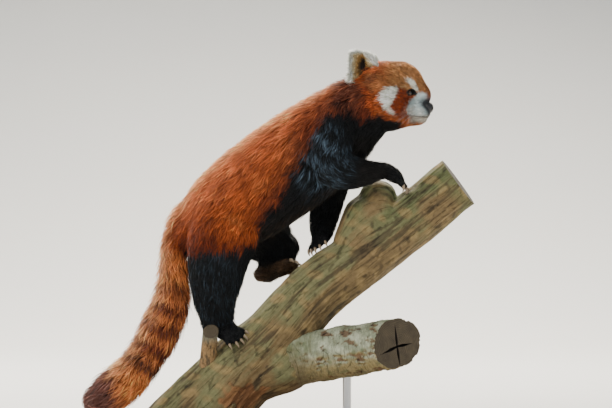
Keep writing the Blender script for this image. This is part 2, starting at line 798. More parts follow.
CHEEK = [(-0.004, 0.013), (0.010, 0.014), (0.019, 0.010), (0.016, -0.003), (0.008, -0.014), (0.010, -0.026),
         (0.014, -0.034), (0.004, -0.034), (-0.006, -0.022), (-0.014, -0.008), (-0.012, 0.004)]
TEAR = [(0.017, 0.014), (0.025, 0.010), (0.026, 0.0), (0.036, -0.002), (0.041, -0.004), (0.028, -0.012),
        (0.022, -0.021), (0.026, -0.032), (0.029, -0.038), (0.017, -0.039), (0.008, -0.030), (0.003, -0.019),
        (0.010, -0.008), (0.015, 0.005)]
MUZZLE = [(0.041, -0.003), (0.045, 0.004), (0.054, 0.005), (0.064, 0.001), (0.090, -0.010), (0.090, -0.039),
          (0.032, -0.039), (0.029, -0.032), (0.025, -0.021), (0.031, -0.011)]
BROW = [(0.031, 0.029), (0.038, 0.026), (0.045, 0.015), (0.047, 0.007), (0.041, 0.007), (0.034, 0.018),
        (0.027, 0.024)]
BLACK_SIDE = [(0.230, 0.588), (0.139, 0.590), (0.115, 0.597), (0.096, 0.606), (0.074, 0.592),
              (0.052, 0.564), (0.034, 0.533), (0.023, 0.503), (-0.006, 0.450), (-0.040, 0.405),
              (-0.066, 0.366), (-0.086, 0.358), (-0.130, 0.350), (-0.185, 0.344), (-0.300, 0.344),
              (-0.300, -0.1), (0.500, -0.1), (0.500, 0.588)]

TEMPLE = [(-0.036, 0.042), (-0.010, 0.034), (-0.008, 0.016), (-0.026, 0.006), (-0.042, 0.020)]
EAR_ROOT = [(-0.040, 0.030), (-0.022, 0.042), (-0.018, 0.022), (-0.034, 0.014)]
EYE_CORNER = [(0.017, 0.013), (0.030, 0.019), (0.029, 0.014), (0.020, 0.010)]
NECK_SIDE = [(0.090, 0.590), (0.122, 0.575), (0.150, 0.640), (0.128, 0.665), (0.100, 0.640)]

RUST, RUST_DEEP, RUST_TAN = tint(158, 76, 34), tint(136, 48, 20), tint(186, 108, 58)
RUST_DARK, RUST_LIT, RUST_BACK = tint(82, 34, 20), tint(242, 168, 114), tint(204, 112, 68)
HAUNCH, HAUNCH_LOW, BELLY_LIT = tint(100, 38, 11), tint(92, 32, 9), tint(122, 92, 66)
NECK_DARK, NECK_TAN, NECK_BACK = tint(56, 26, 18), tint(140, 84, 62), tint(142, 60, 32)
BLACK, BLACK_BROWN, SHEEN = tint(8, 11, 14), tint(26, 22, 19), tint(90, 110, 128)
WHITE, CREAM, CROWN = tint(226, 228, 214), tint(214, 190, 146), tint(190, 104, 58)
FOREHEAD, FOREHEAD_SPOTS, TEMPLE_TAN = tint(160, 112, 68), tint(150, 96, 56), tint(158, 104, 62)
TEAR_RUST, EYE_CORNER_TAN, BRIDGE_BROWN = tint(124, 52, 22), tint(196, 160, 112), tint(88, 42, 26)
MUZZLE_WHITE, MUZZLE_GREY, NOSE_EDGE = tint(200, 217, 218), tint(112, 120, 124), tint(38, 39, 43)
CHIN_WHITE, CHIN_RUST, SOLE = tint(176, 168, 156), tint(186, 112, 66), tint(96, 72, 50)
EAR_TAN, EAR_HOLLOW, EAR_BACK = tint(158, 118, 64), tint(36, 28, 24), tint(150, 74, 40)
TAIL_BUFF, TAIL_REAR, TAIL_TIP = tint(206, 122, 66), tint(248, 182, 130), tint(92, 56, 48)
TAIL_RING, TAIL_PLUM = tint(78, 32, 24), tint(52, 30, 30)
BARE, WHISKER = tint(20, 18, 19), tint(232, 226, 214)


# Rings of the tail: place by station, strength and colour
TAIL_RINGS = [(2.95, 0.30, TAIL_RING), (3.80, 0.65, TAIL_RING), (4.60, 0.95, TAIL_RING),
              (5.30, 1.0, TAIL_RING), (6.05, 1.0, TAIL_RING), (6.85, 1.0, TAIL_PLUM)]
RING_WIDTH = 0.24


def body_marks(points, beds):
    """Colour of the coat off the head and the tail: rust above, black legs, throat and belly."""
    x, y, z = points[:, 0], points[:, 1], points[:, 2]
    flat, up, off_tail = points[:, (0, 2)], beds["torso_up"], 1 - beds["tail"]
    flank = drift(points, 0.090, 5)
    ragged = 0.004 * drift(points, 0.022, 3) + 0.003 * drift(points, 0.008, 4)
    edge = within(flat, BLACK_SIDE) + ragged
    under = easing(edge, -0.004, 0.005)
    streaks = easing(drift(points, 0.007, 6), -0.2, 1.0)
    lit = np.linalg.norm((flat - (0.062, 0.520)) / (0.050, 0.075), axis=1)
    lit = np.maximum(1 - easing(lit, 0.5, 1.25), 0.30 * easing(-x, 0.080, 0.110))
    streak = easing(drift(points, 0.0048, 9) + 0.4 * drift(points, 0.030, 10), -0.2, 1.4)
    belly = beds["torso"] * easing(0.425 - z + x * 0.6, -0.01, 0.03) * under
    chest = easing(0.030 - np.abs(x - 0.145), -0.01, 0.01) * easing(0.565 - z, -0.01, 0.02)
    return painted(RUST, [
        (RUST_TAN, 0.55 * easing(flank, -0.2, 1.0) * (beds["torso"] > 0.5)),
        (RUST_DEEP, 0.6 * easing(x, 0.030, 0.085) * (1 - easing(up, 0.2, 0.7))),
        (RUST_BACK, 0.72 * easing(up + 0.08 * flank, 0.0, 0.80)),
        (RUST_LIT, 0.75 * easing(up, 0.68, 0.92) * easing(-x, -0.125, -0.080)),
        (HAUNCH, 0.85 * (easing(-x, 0.095, 0.150) * easing(0.415 - z, -0.02, 0.05))),
        (HAUNCH_LOW, 0.7 * easing(0.385 - z, 0.0, 0.03) * (beds["tail"] < 0.5)),
        (RUST_DARK, 0.75 * easing(edge, -0.046, -0.004) * easing(x, -0.080, -0.030)),
        (mix(NECK_DARK, NECK_TAN, streaks * 0.6), 0.85 * easing(within(flat, NECK_SIDE), -0.010, 0.006)),
        (BLACK, under * off_tail),
        (SHEEN, 0.85 * lit * streak * under * (y < 0.0) * off_tail),
        (BLACK_BROWN, 0.7 * belly),
        (BELLY_LIT, 0.18 * belly * easing(drift(points, 0.010, 7), 0.2, 1.2)),
        (BLACK_BROWN, 0.6 * chest * under),
    ])


def tail_marks(points, place, up):
    """Rings by the distance along the tail, in stations, paler along its rear."""
    place = place + 0.10 * drift(points, 0.020, 8)
    rear = easing(up, 0.0, 0.65)
    layers = [(TAIL_BUFF, easing(place, 1.0, 3.0)), (TAIL_REAR, 0.75 * rear)]
    for centre, strength, colour in TAIL_RINGS:
        ring = np.exp(-(((place - centre) / RING_WIDTH) ** 2)) * strength
        layers.append((colour, np.clip(ring * 1.2, 0, 1) * (0.96 - 0.25 * rear)))
    return painted(RUST, [*layers, (TAIL_TIP, easing(place + 0.55 * up, 7.75, 8.65))])


def head_marks(local):
    """The mask: white muzzle, brows and cheeks, rust tear marks, tan forehead, dark throat."""
    flat = local[:, (0, 2)] + 0.0012 * np.stack([drift(local, 0.006, 12), drift(local, 0.007, 13)], axis=1)
    x, y, z = local[:, 0], np.abs(local[:, 1]), local[:, 2]
    side = easing(y, 0.008, 0.016)
    bridge = easing(0.0085 - y, -0.003, 0.003) * easing(z, -0.012, -0.004)
    from_nose = np.linalg.norm(local - np.array(NOSE_PLACE), axis=1)
    under = easing(-z, 0.0415, 0.046)
    chin_white = easing(-z, 0.034, 0.039) * easing(x, 0.026, 0.040) * easing(z, -0.052, -0.047)
    chin_rust = under * easing(x, 0.020, 0.034) * easing(-z, 0.048, 0.051)
    low = easing(-z - 0.25 * np.clip(-x - 0.02, 0, 1), 0.030, 0.040) * easing(-x, 0.0, 0.012)
    return painted(RUST, [
        (CROWN, easing(z, 0.035, 0.055) * easing(x, -0.050, -0.020)),
        (FOREHEAD, easing(x, -0.020, 0.008) * easing(z, -0.005, 0.012)),
        (FOREHEAD_SPOTS, 0.6 * easing(drift(local, 0.012, 14), 0, 1) * easing(x, -0.03, 0)),
        (TEMPLE_TAN, 0.8 * easing(within(flat, TEMPLE), -0.006, 0.004)),
        (NECK_BACK, 0.8 * (easing(-x, 0.020, 0.045) * easing(-z, -0.030, -0.005))),
        (RUST_DARK, 0.6 * easing(within(flat, EAR_ROOT), -0.005, 0.004)),
        (WHITE, easing(within(flat, CHEEK), -0.002, 0.0022) * easing(y, 0.018, 0.026)),
        (TEAR_RUST, easing(within(flat, TEAR), -0.0015, 0.0015) * side),
        (EYE_CORNER_TAN, 0.7 * easing(within(flat, EYE_CORNER), -0.0012, 0.0012) * side),
        (WHITE, easing(within(flat, BROW), -0.0015, 0.0018) * easing(y, 0.006, 0.012)),
        (MUZZLE_WHITE, easing(within(flat, MUZZLE), -0.0015, 0.002) * (1 - bridge)),
        (MUZZLE_GREY, 0.85 * (1 - easing(from_nose, 0.0150, 0.0260))),
        (NOSE_EDGE, 0.95 * (1 - easing(from_nose, 0.0158, 0.0190))),
        (BRIDGE_BROWN, 0.5 * bridge * easing(x, 0.050, 0.060)),
        (CHIN_WHITE, chin_white),
        (CHIN_RUST, chin_rust * (1 - easing(-z, 0.056, 0.062))),
        (BLACK, under * (1 - easing(x, 0.012, 0.026))),
        (BLACK, easing(-z, 0.055, 0.062)),
        (BLACK, low),
    ])


# Half sizes of the bare lids as seen on the eye, and the place and half sizes of its inner corner
LID_SIZE = (0.0096, 0.0074)
CORNER_PLACE = (-0.0088, -0.0026)
CORNER_SIZE = (0.0050, 0.0028)
LID_REACH = 0.016


def lid_marks(local):
    """How near bare dark lid skin a point of the head is, 1 on it."""
    found = np.zeros(len(local))
    for side in (1, -1):
        offset = (local - np.array(mirrored(EYE_PLACE, side))) @ np.array(eye_frame(side))
        across = np.linalg.norm(offset[:, 1:] / np.array(LID_SIZE), axis=1)
        inner = offset[:, 1:] - np.array((CORNER_PLACE[0] * side, CORNER_PLACE[1]))
        corner = np.linalg.norm(inner / np.array(CORNER_SIZE), axis=1)
        near = (offset[:, 0] > 0) & (np.linalg.norm(offset, axis=1) < LID_REACH)
        found = np.maximum(found, np.where(near, 1 - easing(np.minimum(across, corner), 0.86, 1.04), 0))
    return found


# Fields over the skin: which bed a point is on, and the lie, length and height of the hair there

def bed_fields(points):
    """Nearness, lie and the rest of the hair's numbers for each bed at each point."""
    fields = {}
    for name, (stations, flow, depth, lengths, lift, width, roots) in BEDS.items():
        path = smooth_run(stations)
        along, across, up = run_frames(path)
        nearest = np.zeros(len(points), int)
        best = np.full(len(points), 1e9)
        for k, centre in enumerate(path[:, :3]):
            gap = ((points - centre) ** 2).sum(axis=1)
            closer = gap < best
            nearest[closer], best[closer] = k, gap[closer]
        offset = points - path[nearest, :3]
        tall, wide = path[nearest, 3], path[nearest, 4]
        a = np.sum(offset * up[nearest], axis=1) / tall
        b = np.sum(offset * across[nearest], axis=1) / wide
        c = np.sum(offset * along[nearest], axis=1) / np.minimum(tall, wide)
        lie = along[nearest] * flow
        if name == "torso":
            lie = lie + np.array((0, 0, -0.55)) * np.abs(b)[:, None]
        fields[name] = {
            "distance": (np.sqrt(a * a + b * b + c * c) - 1) * np.sqrt(tall * wide) + depth,
            "lie": lie,
            "length": lengths[0] + (lengths[1] - lengths[0]) * (nearest / (len(path) - 1)),
            "lift": lift,
            "width": width,
            "roots": roots,
            "place": nearest / PATH_STEPS,
            "up": a,
        }
    return fields


def head_lie(local):
    """Hair swept from the nose back over the face, down on the cheeks and the throat."""
    away = unit(local - np.array(FACE_SWEEP))
    back = np.array((-1.0, 0, 0)) + np.stack([0 * local[:, 0], 0.25 * np.sign(local[:, 1]),
                                               -0.30 * easing(-local[:, 2], -0.02, 0.03)], axis=1)
    share = easing(-local[:, 0], -0.03, 0.02)
    return mix(away, unit(back), share)


def paw_fields(points):
    """Distance and lie over the paws."""
    distance, lie = np.full(len(points), 1e9), np.zeros((len(points), 3))
    for paw in PAWS.values():
        for place, radii, turn in paw_masses(paw):
            local = (points - np.array(place)) @ np.array(turn)
            gap = oval_distance(local, (0, 0, 0), radii) + PAW_DEPTH
            closer = gap < distance
            distance[closer] = gap[closer]
            lie[closer] = np.array(turn)[:, 0]
    return distance, lie


def ear_places(points, normals, trees):
    """Which points lie on an ear, how far in from its rim, whether inside the cup, and the lie."""
    local = to_head(points)
    on = np.zeros(len(points), bool)
    side = np.sign(local[:, 1])
    for index in np.nonzero((local[:, 2] > 0.010) & (local[:, 0] < -0.015))[0]:
        tree = trees[1 if side[index] > 0 else -1]
        on[index] = tree.find_nearest(Vector(points[index]))[3] < 0.0004
    rim = within(local[:, (0, 2)], ear_corners())
    facing = (normals @ HEAD_TURN) * np.stack([np.ones(len(points)), side, np.ones(len(points))], axis=1)
    inner = facing @ np.array(EAR_NORMAL) > 0
    radial = np.zeros((len(points), 3))
    radial[:, 0] = local[:, 0] - EAR_MIDDLE[0]
    radial[:, 2] = local[:, 2] - EAR_MIDDLE[1]
    radial[:, 1] = (EAR_LEAN[0] * radial[:, 0] + EAR_LEAN[1] * radial[:, 2]) * side
    return on, rim, inner, unit(radial) @ HEAD_TURN.T


def ear_marks(local, rim, inner):
    """White rims, a tan band and a dark middle in the cup, rust behind."""
    rim = rim + 0.0012 * drift(local, 0.008, 21)
    middle = np.linalg.norm((local[:, (0, 2)] - EAR_DARK) / (0.0098, 0.0160), axis=1)
    middle = middle + 0.10 * drift(local, 0.006, 22)
    cup = painted(WHITE, [(CREAM, easing(rim, 0.0030, 0.0070)), (EAR_TAN, 1 - easing(middle, 1.05, 1.65)),
                          (EAR_HOLLOW, 1 - easing(middle, 0.55, 1.15))])
    return mix(mix(WHITE, EAR_BACK, easing(rim, 0.0060, 0.0120)), cup, inner.astype(float))


def hair_on_ears(found, local, on_ear, rim, inner, radial):
    """Short soft hair on the ears, longer where it crosses the cup from its front and its foot."""
    near_rim = 1 - easing(rim, 0.004, 0.010)
    crossing = inner * easing(local[:, 0], -0.050, -0.034) + inner * easing(-local[:, 2], -0.048, -0.030)
    crossing = np.clip(crossing, 0, 1)
    cup = inner & (rim > 0.0035)
    hair = {
        "length": 0.0056 + 0.0012 * near_rim + 0.0022 * cup + 0.0065 * crossing,
        "lift": 0.0020 + 0.0020 * crossing,
        "width": 0.0008,
        "roots": 92 + 50 * near_rim,
        "bend": np.where(cup, 0.80, 0.08),
        "above": np.where(cup, 0.0035, 0.0),
    }
    for key, values in hair.items():
        found[key] = np.where(on_ear, values, found[key])
    lie = np.where(on_ear[:, None], radial, found["lie"])
    forward = on_ear * inner * easing(local[:, 0], -0.056, -0.044)
    found["lie"] = mix(lie, np.array((-0.55, 0.0, 0.85)) @ HEAD_TURN.T, forward)


PARTS = [*BEDS, "head", "paw", "ear"]


def coat_fields(points, normals, ear_trees, mouth):
    """At points of the skin: the hair, how much each part owns them, and their places on the head."""
    local = to_head(points)
    head = head_field(local) + over_head(local, HEAD_DEPTHS)
    paw, paw_lie = paw_fields(points)
    fields = bed_fields(points)
    beds = list(fields.values())
    distances = np.stack([bed["distance"] for bed in beds] + [head, paw], axis=1)
    weights = np.exp(-(distances - distances.min(axis=1, keepdims=True)) / BED_BLEND)
    weights /= weights.sum(axis=1, keepdims=True)
    found = {"owner": weights.argmax(axis=1), "bend": np.full(len(points), STRAND_BEND),
             "above": np.zeros(len(points))}
    for key, on_paws in PAW_HAIR.items():
        columns = [bed[key] for bed in beds] + [over_head(local, HEAD_HAIR[key]), on_paws]
        columns = np.stack([np.broadcast_to(column, len(points)) for column in columns], axis=1)
        found[key] = (weights * columns).sum(axis=1)
    lies = [unit(bed["lie"]) for bed in beds] + [head_lie(local) @ HEAD_TURN.T, paw_lie]
    found["lie"] = (weights[..., None] * np.stack(lies, axis=1)).sum(axis=1)
    shares = {name: weights[:, k] for k, name in enumerate(PARTS[:-1])}
    shares["tail_place"], shares["tail_up"] = fields["tail"]["place"], fields["tail"]["up"]
    shares["torso_up"] = -fields["torso"]["up"]
    on_ear, rim, inner, radial = ear_places(points, normals, ear_trees)
    hair_on_ears(found, local, on_ear, rim, inner, radial)
    found["lie"] = flatten_on(found["lie"], normals)
    found["owner"][on_ear] = PARTS.index("ear")
    to_mouth = np.min([np.linalg.norm(points - spot, axis=1) for spot in mouth], axis=0)
    bare = (lid_marks(local) > 0.85) | (to_mouth < 0.0016)
    bare |= oval_distance(local, NOSE_PLACE, NOSE_RADII) < 0.0004
    found["roots"] = np.where(bare, 0, found["roots"])
    return found, shares, (local, on_ear, rim, inner, to_mouth)


def coat_colour(points, shares, places):
    """The markings of the whole animal at points of the skin."""
    local, on_ear, rim, inner, to_mouth = places
    tail = tail_marks(points, shares["tail_place"], shares["tail_up"])
    sole = shares["paw"] * easing(0.325 - points[:, 2], 0, 0.01) * easing(points[:, 1], 0, 0.02)
    colour = painted(body_marks(points, shares), [
        (tail, shares["tail"]),
        (head_marks(local), easing(shares["head"], 0.3, 0.7)),
        (BLACK, easing(shares["paw"], 0.3, 0.7)),
        (SOLE, 0.7 * sole * easing(points[:, 2], 0.20, 0.25)),
    ])
    colour = np.where(on_ear[:, None], ear_marks(local, rim, inner), colour)
    return painted(colour, [(BARE, lid_marks(local)), (BARE, 1 - easing(to_mouth, 0.0010, 0.0020))])


def mesh_object(name, points, triangles, colours, patches):
    """A mesh from arrays, with a colour at each point and the bake's map at each corner."""
    mesh = bpy.data.meshes.new(name)
    mesh.vertices.add(len(points))
    mesh.vertices.foreach_set("co", points.astype(np.float32).ravel())
    mesh.loops.add(triangles.size)
    mesh.loops.foreach_set("vertex_index", triangles.astype(np.int32).ravel())
    mesh.polygons.add(len(triangles))
    mesh.polygons.foreach_set("loop_start", np.arange(0, triangles.size, 3, dtype=np.int32))
    mesh.polygons.foreach_set("use_smooth", np.ones(len(triangles), bool))
    mesh.update(calc_edges=True)
    obj = bpy.data.objects.new(name, mesh)
    bpy.context.scene.collection.objects.link(obj)
    colour_points(obj, "hair", colours)
    uv = mesh.uv_layers.new(name="OFBake")
    uv.data.foreach_set("uv", patches[triangles.ravel()].astype(np.float32).ravel())
    return obj


def blades(centres, sides, ups, widths, thickness):
    """Closed three-sided blades through rows of centres, the last of each its tip."""
    count, rings = centres.shape[0], centres.shape[1] - 1
    half = sides * widths[..., None] / 2
    rise = ups * thickness[..., None] / 2
    middle = centres[:, :-1]
    ring = np.stack([middle + half - rise, middle + rise, middle - half - rise], axis=2)
    points = np.concatenate([ring.reshape(count, rings * 3, 3), centres[:, -1:]], axis=1)
    pattern = [(0, 1, 2)]
    for r in range(rings):
        for k in range(3):
            a, b = r * 3 + k, r * 3 + (k + 1) % 3
            if r == rings - 1:
                pattern.append((b, a, rings * 3))
            else:
                pattern += [(b, a, a + 3), (b, a + 3, b + 3)]
    step = rings * 3 + 1
    triangles = np.array(pattern)[None] + (np.arange(count) * step)[:, None, None]
    across = np.append(np.tile((1 / 6, 1 / 2, 5 / 6), rings), 0.5)
    along = np.append(np.repeat(np.arange(rings) / rings, 3), 1.0)
    return points.reshape(-1, 3), triangles.reshape(-1, 3), np.stack([across, along], axis=1)


# Rings of a long and a short strand: share of the length, height, width, brightness
LONG_RINGS = ((0.0, -0.15, 0.75, 0.26), (0.30, 0.50, 1.0, 0.68), (0.65, 0.82, 0.66, 1.05),
              (1.0, 1.0, 0, 1.38))
STRAND_FLATNESS = 0.42
SHORT_RINGS = ((0.0, -0.15, 0.85, 0.48), (0.50, 0.70, 0.85, 0.92), (1.0, 1.0, 0, 1.25))
TINY_RINGS = ((0.0, -0.10, 1.0, 0.70), (1.0, 1.0, 0, 1.12))


def grown(tree, coat, rings):
    """Strands that rise from under the skin and follow it: the centres and frames of their rings."""
    spots, normals, ahead = coat["root"].copy(), coat["normal"].copy(), coat["lie"].copy()
    before = 0.0
    centres, sides, ups = [], [], []
    for share, height, _, _ in rings:
        if share > 0:
            step = (share - before) * coat["length"][:, None]
            aims = spots + ahead * step
            near, facing = np.empty_like(aims), np.empty_like(aims)
            for k, aim in enumerate((aims + normals * coat["above"][:, None]).tolist()):
                found = tree.find_nearest(aim)
                near[k], facing[k] = found[0], found[1]
            pull = near - aims
            reach = np.linalg.norm(pull, axis=1, keepdims=True)
            limit = step * coat["bend"][:, None]
            near = np.where(reach > limit, aims + pull / (reach + 1e-9) * limit, near)
            turned = np.sum(facing * normals, axis=1, keepdims=True) < 0.6
            normals = unit(np.where(turned, facing + normals * 2.5, facing + normals * 0.6))
            spots = near
            ahead = flatten_on(ahead + coat["sway"] * share, normals)
        before = share
        lift = coat["lift"] * height * (coat["stand"] if share > 0 else 1.0)
        centres.append(spots + normals * lift[:, None] + coat["gather"] * share**2)
        sides.append(np.cross(ahead, normals))
        ups.append(normals)
    return np.stack(centres, axis=1), np.stack(sides, axis=1), np.stack(ups, axis=1)


def strands(tree, coat, rings):
    """The blades of some strands with a colour and a bake patch at every point."""
    centres, sides, ups = grown(tree, coat, rings)
    wide = np.array([ring[2] for ring in rings[:-1]])
    widths = coat["width"][:, None] * wide
    points, triangles, local = blades(centres, sides[:, :-1], ups[:, :-1], widths, widths * STRAND_FLATNESS)
    shades = np.array([ring[3] for ring in rings])
    shades = np.append(np.repeat(shades[:-1], 3), shades[-1])
    colours = np.clip(coat["colour"][:, None] * shades[None, :, None] * coat["tone"][:, None, None], 0, 0.92)
    patches = coat["patch"][:, None] + (local[None] - 0.5) * PATCH
    return points, triangles, colours.reshape(-1, 3), patches.reshape(-1, 2)


def unwrapped(points, faces, chosen, share):
    """The place of each root on an unwrap of the skin that its piece grows on."""
    grounds, place = np.unique(chosen, return_inverse=True)
    used, index = np.unique(faces[grounds], return_inverse=True)
    mesh = bpy.data.meshes.new("ground")
    mesh.from_pydata(points[used].tolist(), [], index.reshape(-1, 3).tolist())
    obj = bpy.data.objects.new("ground", mesh)
    bpy.context.scene.collection.objects.link(obj)
    hold(obj)
    mesh.uv_layers.new(name="unwrap")
    bpy.ops.object.mode_set(mode="EDIT")
    bpy.ops.mesh.select_all(action="SELECT")
    bpy.ops.uv.smart_project(angle_limit=math.radians(66), island_margin=0.004)
    bpy.ops.object.mode_set(mode="OBJECT")
    flat = np.empty(len(mesh.loops) * 2, np.float32)
    mesh.uv_layers["unwrap"].data.foreach_get("uv", flat)
    bpy.data.objects.remove(obj)
    return (flat.reshape(-1, 3, 2).astype(float)[place] * share).sum(axis=1)


def over_corners(values, at, share):
    """Values at places on the skin, from the corners of their triangles and the share of each."""
    return (values[at] * (share if values.ndim > 1 else share[..., 0])).sum(axis=1)


def scattered(points, faces, roots, rng):
    """Roots spread over the skin as thick as its hair: the triangle of each, and its corners' shares."""
    corners = points[faces]
    areas = np.linalg.norm(np.cross(corners[:, 1] - corners[:, 0], corners[:, 2] - corners[:, 0]), axis=1) / 2
    running = np.cumsum(areas * (roots[faces].min(axis=1) * 1e4))
    count = int(running[-1])
    chosen = np.searchsorted(running, (np.arange(count) + rng.uniform(0, 1, count)) * running[-1] / count)
    a, b = np.sqrt(rng.uniform(0, 1, count)), rng.uniform(0, 1, count)
    return np.clip(chosen, 0, len(faces) - 1), np.stack([1 - a, a * (1 - b), a * b], axis=1)[..., None]


def clear_of(trees, spots):
    """Which places keep a hair's clearance from the wood."""
    near = [[tree.find_nearest(spot, WOOD_GAP)[0] is not None for spot in spots.tolist()] for tree in trees]
    return ~np.any(near, axis=0)


def ruffle(coat, rng):
    """Each strand's own turn, sway, length, stance and tone."""
    count, root = len(coat["root"]), coat["root"]
    turn = 0.16 * drift(root, 0.030, 31) + 0.13 * rng.normal(size=count)
    across = np.cross(coat["normal"], coat["lie"])
    coat["lie"] = flatten_on(coat["lie"] + across * turn[:, None], coat["normal"])
    coat["sway"] = across * (0.22 * drift(root, 0.018, 32) + 0.10 * rng.normal(size=count))[:, None]
    guard = rng.uniform(0, 1, count) < GUARD_SHARE
    coat["length"] *= rng.uniform(*OWN_LENGTHS, count) * np.where(guard, GUARD_LENGTH, 1.0)
    coat["stand"] = rng.uniform(*OWN_STANDS, count) * np.where(guard, GUARD_STAND, 1.0)
    streak = 0.24 * drift(root, 0.0075, 33) + 0.12 * drift(root, 0.024, 34)
    coat["tone"] = np.exp(streak + 0.24 * rng.normal(size=count)) * np.where(guard, GUARD_TONE, 1.0)
    coat["root"] = root - coat["normal"] * ROOT_SUNK


def gather(coat, rng):
    """Strands drawn together in tufts, each tuft a little darker or lighter than the next."""
    root = coat["root"]
    size = np.maximum(0.002, coat["width"] * CLUMP).round(3)[:, None]
    wander = np.stack([drift(root, 0.016, 35 + k) for k in range(3)], axis=1)
    cells = np.hstack([np.floor(root / size + 0.8 * wander), np.round(size * 1000)])
    member = np.unique(cells, axis=0, return_inverse=True)[1].ravel()
    sizes = np.bincount(member)
    centre = np.stack([np.bincount(member, root[:, k]) / sizes for k in range(3)], axis=1)
    coat["gather"] = (centre[member] - root) * CLUMP_PULL
    coat["tone"] *= np.exp(0.26 * rng.normal(size=len(sizes)))[member]


def make_coat(skin, ear_trees, mouth, wood_trees):
    """Every strand of the coat, in pieces by the part of the body that they grow on."""
    rng = np.random.default_rng(COAT_SEED)
    points, normals = points_of(skin), normals_of(skin)
    faces = np.empty(len(skin.data.polygons) * 3, np.int32)
    skin.data.loops.foreach_get("vertex_index", faces)
    faces = faces.reshape(-1, 3)
    fields, shares, places = coat_fields(points, normals, ear_trees, mouth)
    _, on_ear, rim, inner, to_mouth = places
    under = UNDER_COAT + UNDER_SHORT * easing(shares["head"] + shares["paw"] + on_ear, 0.2, 0.8)
    colour_points(skin, "hair", np.clip(coat_colour(points, shares, places) * under[:, None], 0, 0.9))
    chosen, share = scattered(points, faces, fields["roots"], rng)
    keep = clear_of(wood_trees, over_corners(points, faces[chosen], share))
    chosen, share = chosen[keep], share[keep]
    at = faces[chosen]
    kept = ("lie", "length", "lift", "width", "bend", "above")
    coat = {key: over_corners(fields[key], at, share) for key in kept}
    coat["root"] = over_corners(points, at, share)
    coat["normal"] = unit(over_corners(normals, at, share))
    jitter = coat["root"] + rng.normal(size=(len(at), 3)) * coat["width"][:, None] * COLOUR_JITTER
    marks = {key: over_corners(values, at, share) for key, values in shares.items()}
    spots = (to_head(jitter), on_ear[at[:, 0]], over_corners(rim, at, share), inner[at[:, 0]],
             over_corners(to_mouth, at, share) + 0.01)
    coat["colour"] = coat_colour(jitter, marks, spots)
    ruffle(coat, rng)
    gather(coat, rng)
    tree = tree_of(skin)
    made = []
    for index, name in enumerate(PARTS):
        members = np.nonzero(fields["owner"][at[:, 0]] == index)[0]
        if not len(members):
            continue
        order = members[np.argsort(coat["root"][members] @ SPLIT_ALONG)]
        running = sum(row * (6 * len(rings) - 8) for row, rings in kinds_of(coat["length"][order])).cumsum()
        parts = int(np.ceil(running[-1] / PIECE_TRIANGLES))
        number = np.minimum(running * parts // running[-1], parts - 1)
        for k in range(parts):
            own = order[number == k]
            some = {key: values[own] for key, values in coat.items()}
            some["patch"] = unwrapped(points, faces, chosen[own], share[own])
            made.append(coat_piece(f"coat_{name}_{k + 1}" if parts > 1 else f"coat_{name}", some, tree))
    return made


def kinds_of(lengths):
    """Long, short and tiny strands: which are of each kind, and its rings."""
    long, tiny = lengths > LONG_STRAND, lengths < TINY_STRAND
    return (long, LONG_RINGS), (~long & ~tiny, SHORT_RINGS), (tiny, TINY_RINGS)


def coat_piece(name, coat, tree):
    """One piece of the coat, its strands of every kind."""
    columns, base = [], 0
    for rows, rings in kinds_of(coat["length"]):
        if rows.any():
            some = {key: values[rows] for key, values in coat.items()}
            points, triangles, colours, patches = strands(tree, some, rings)
            columns.append((points, triangles + base, colours, patches))
            base += len(points)
    return mesh_object(name, *[np.concatenate(column) for column in zip(*columns)])


# Materials

def feed(tree, node, inputs):
    """A node's inputs, each a plain value or the output that feeds it."""
    for key, value in inputs.items():
        if isinstance(value, bpy.types.NodeSocket):
            tree.links.new(value, node.inputs[key])
        else:
            node.inputs[key].default_value = value


def add_node(tree, kind, inputs=None, **settings):
    """A new node with its settings and its inputs."""
    node = tree.nodes.new("ShaderNode" + kind)
    for key, value in settings.items():
        setattr(node, key, value)
    feed(tree, node, inputs or {})
    return node


def fresh_material(name, roughness, metallic=0.0, gloss=0.5):
    """A material with its node tree and its shader."""
    made = bpy.data.materials.new(name)
    made.use_nodes = True
    shader = made.node_tree.nodes["Principled BSDF"]
    feed(made.node_tree, shader, {"Base Color": (0.5, 0.5, 0.5, 1), "Roughness": roughness,
                                  "Metallic": metallic, "Specular IOR Level": gloss})
    return made, made.node_tree, shader


def mottle_group():
    """A colour made uneven by fine spots, with a height for bump."""
    group = bpy.data.node_groups.new("mottle", "ShaderNodeTree")
    for name, way, kind in (("Vector", "INPUT", "Vector"), ("Color", "INPUT", "Color"),
                            ("Scale", "INPUT", "Float"), ("Amount", "INPUT", "Float"),
                            ("Color", "OUTPUT", "Color"), ("Height", "OUTPUT", "Float")):
        group.interface.new_socket(name, in_out=way, socket_type="NodeSocket" + kind)
    ins, outs = group.nodes.new("NodeGroupInput").outputs, group.nodes.new("NodeGroupOutput")
    spots = add_node(group, "TexNoise", {"Detail": 6, "Roughness": 0.65, "Vector": ins["Vector"],
                                         "Scale": ins["Scale"]})
    centred = add_node(group, "Math", {0: spots.outputs["Fac"], 1: 0.5}, operation="SUBTRACT")
    swing = add_node(group, "Math", {0: centred.outputs[0], 1: ins["Amount"], 2: 1.0},
                     operation="MULTIPLY_ADD")
    shade = add_node(group, "VectorMath", {0: ins["Color"], "Scale": swing.outputs[0]}, operation="SCALE")
    feed(group, outs, {"Color": shade.outputs[0], "Height": spots.outputs["Fac"]})
    return group


MOTTLE = mottle_group()


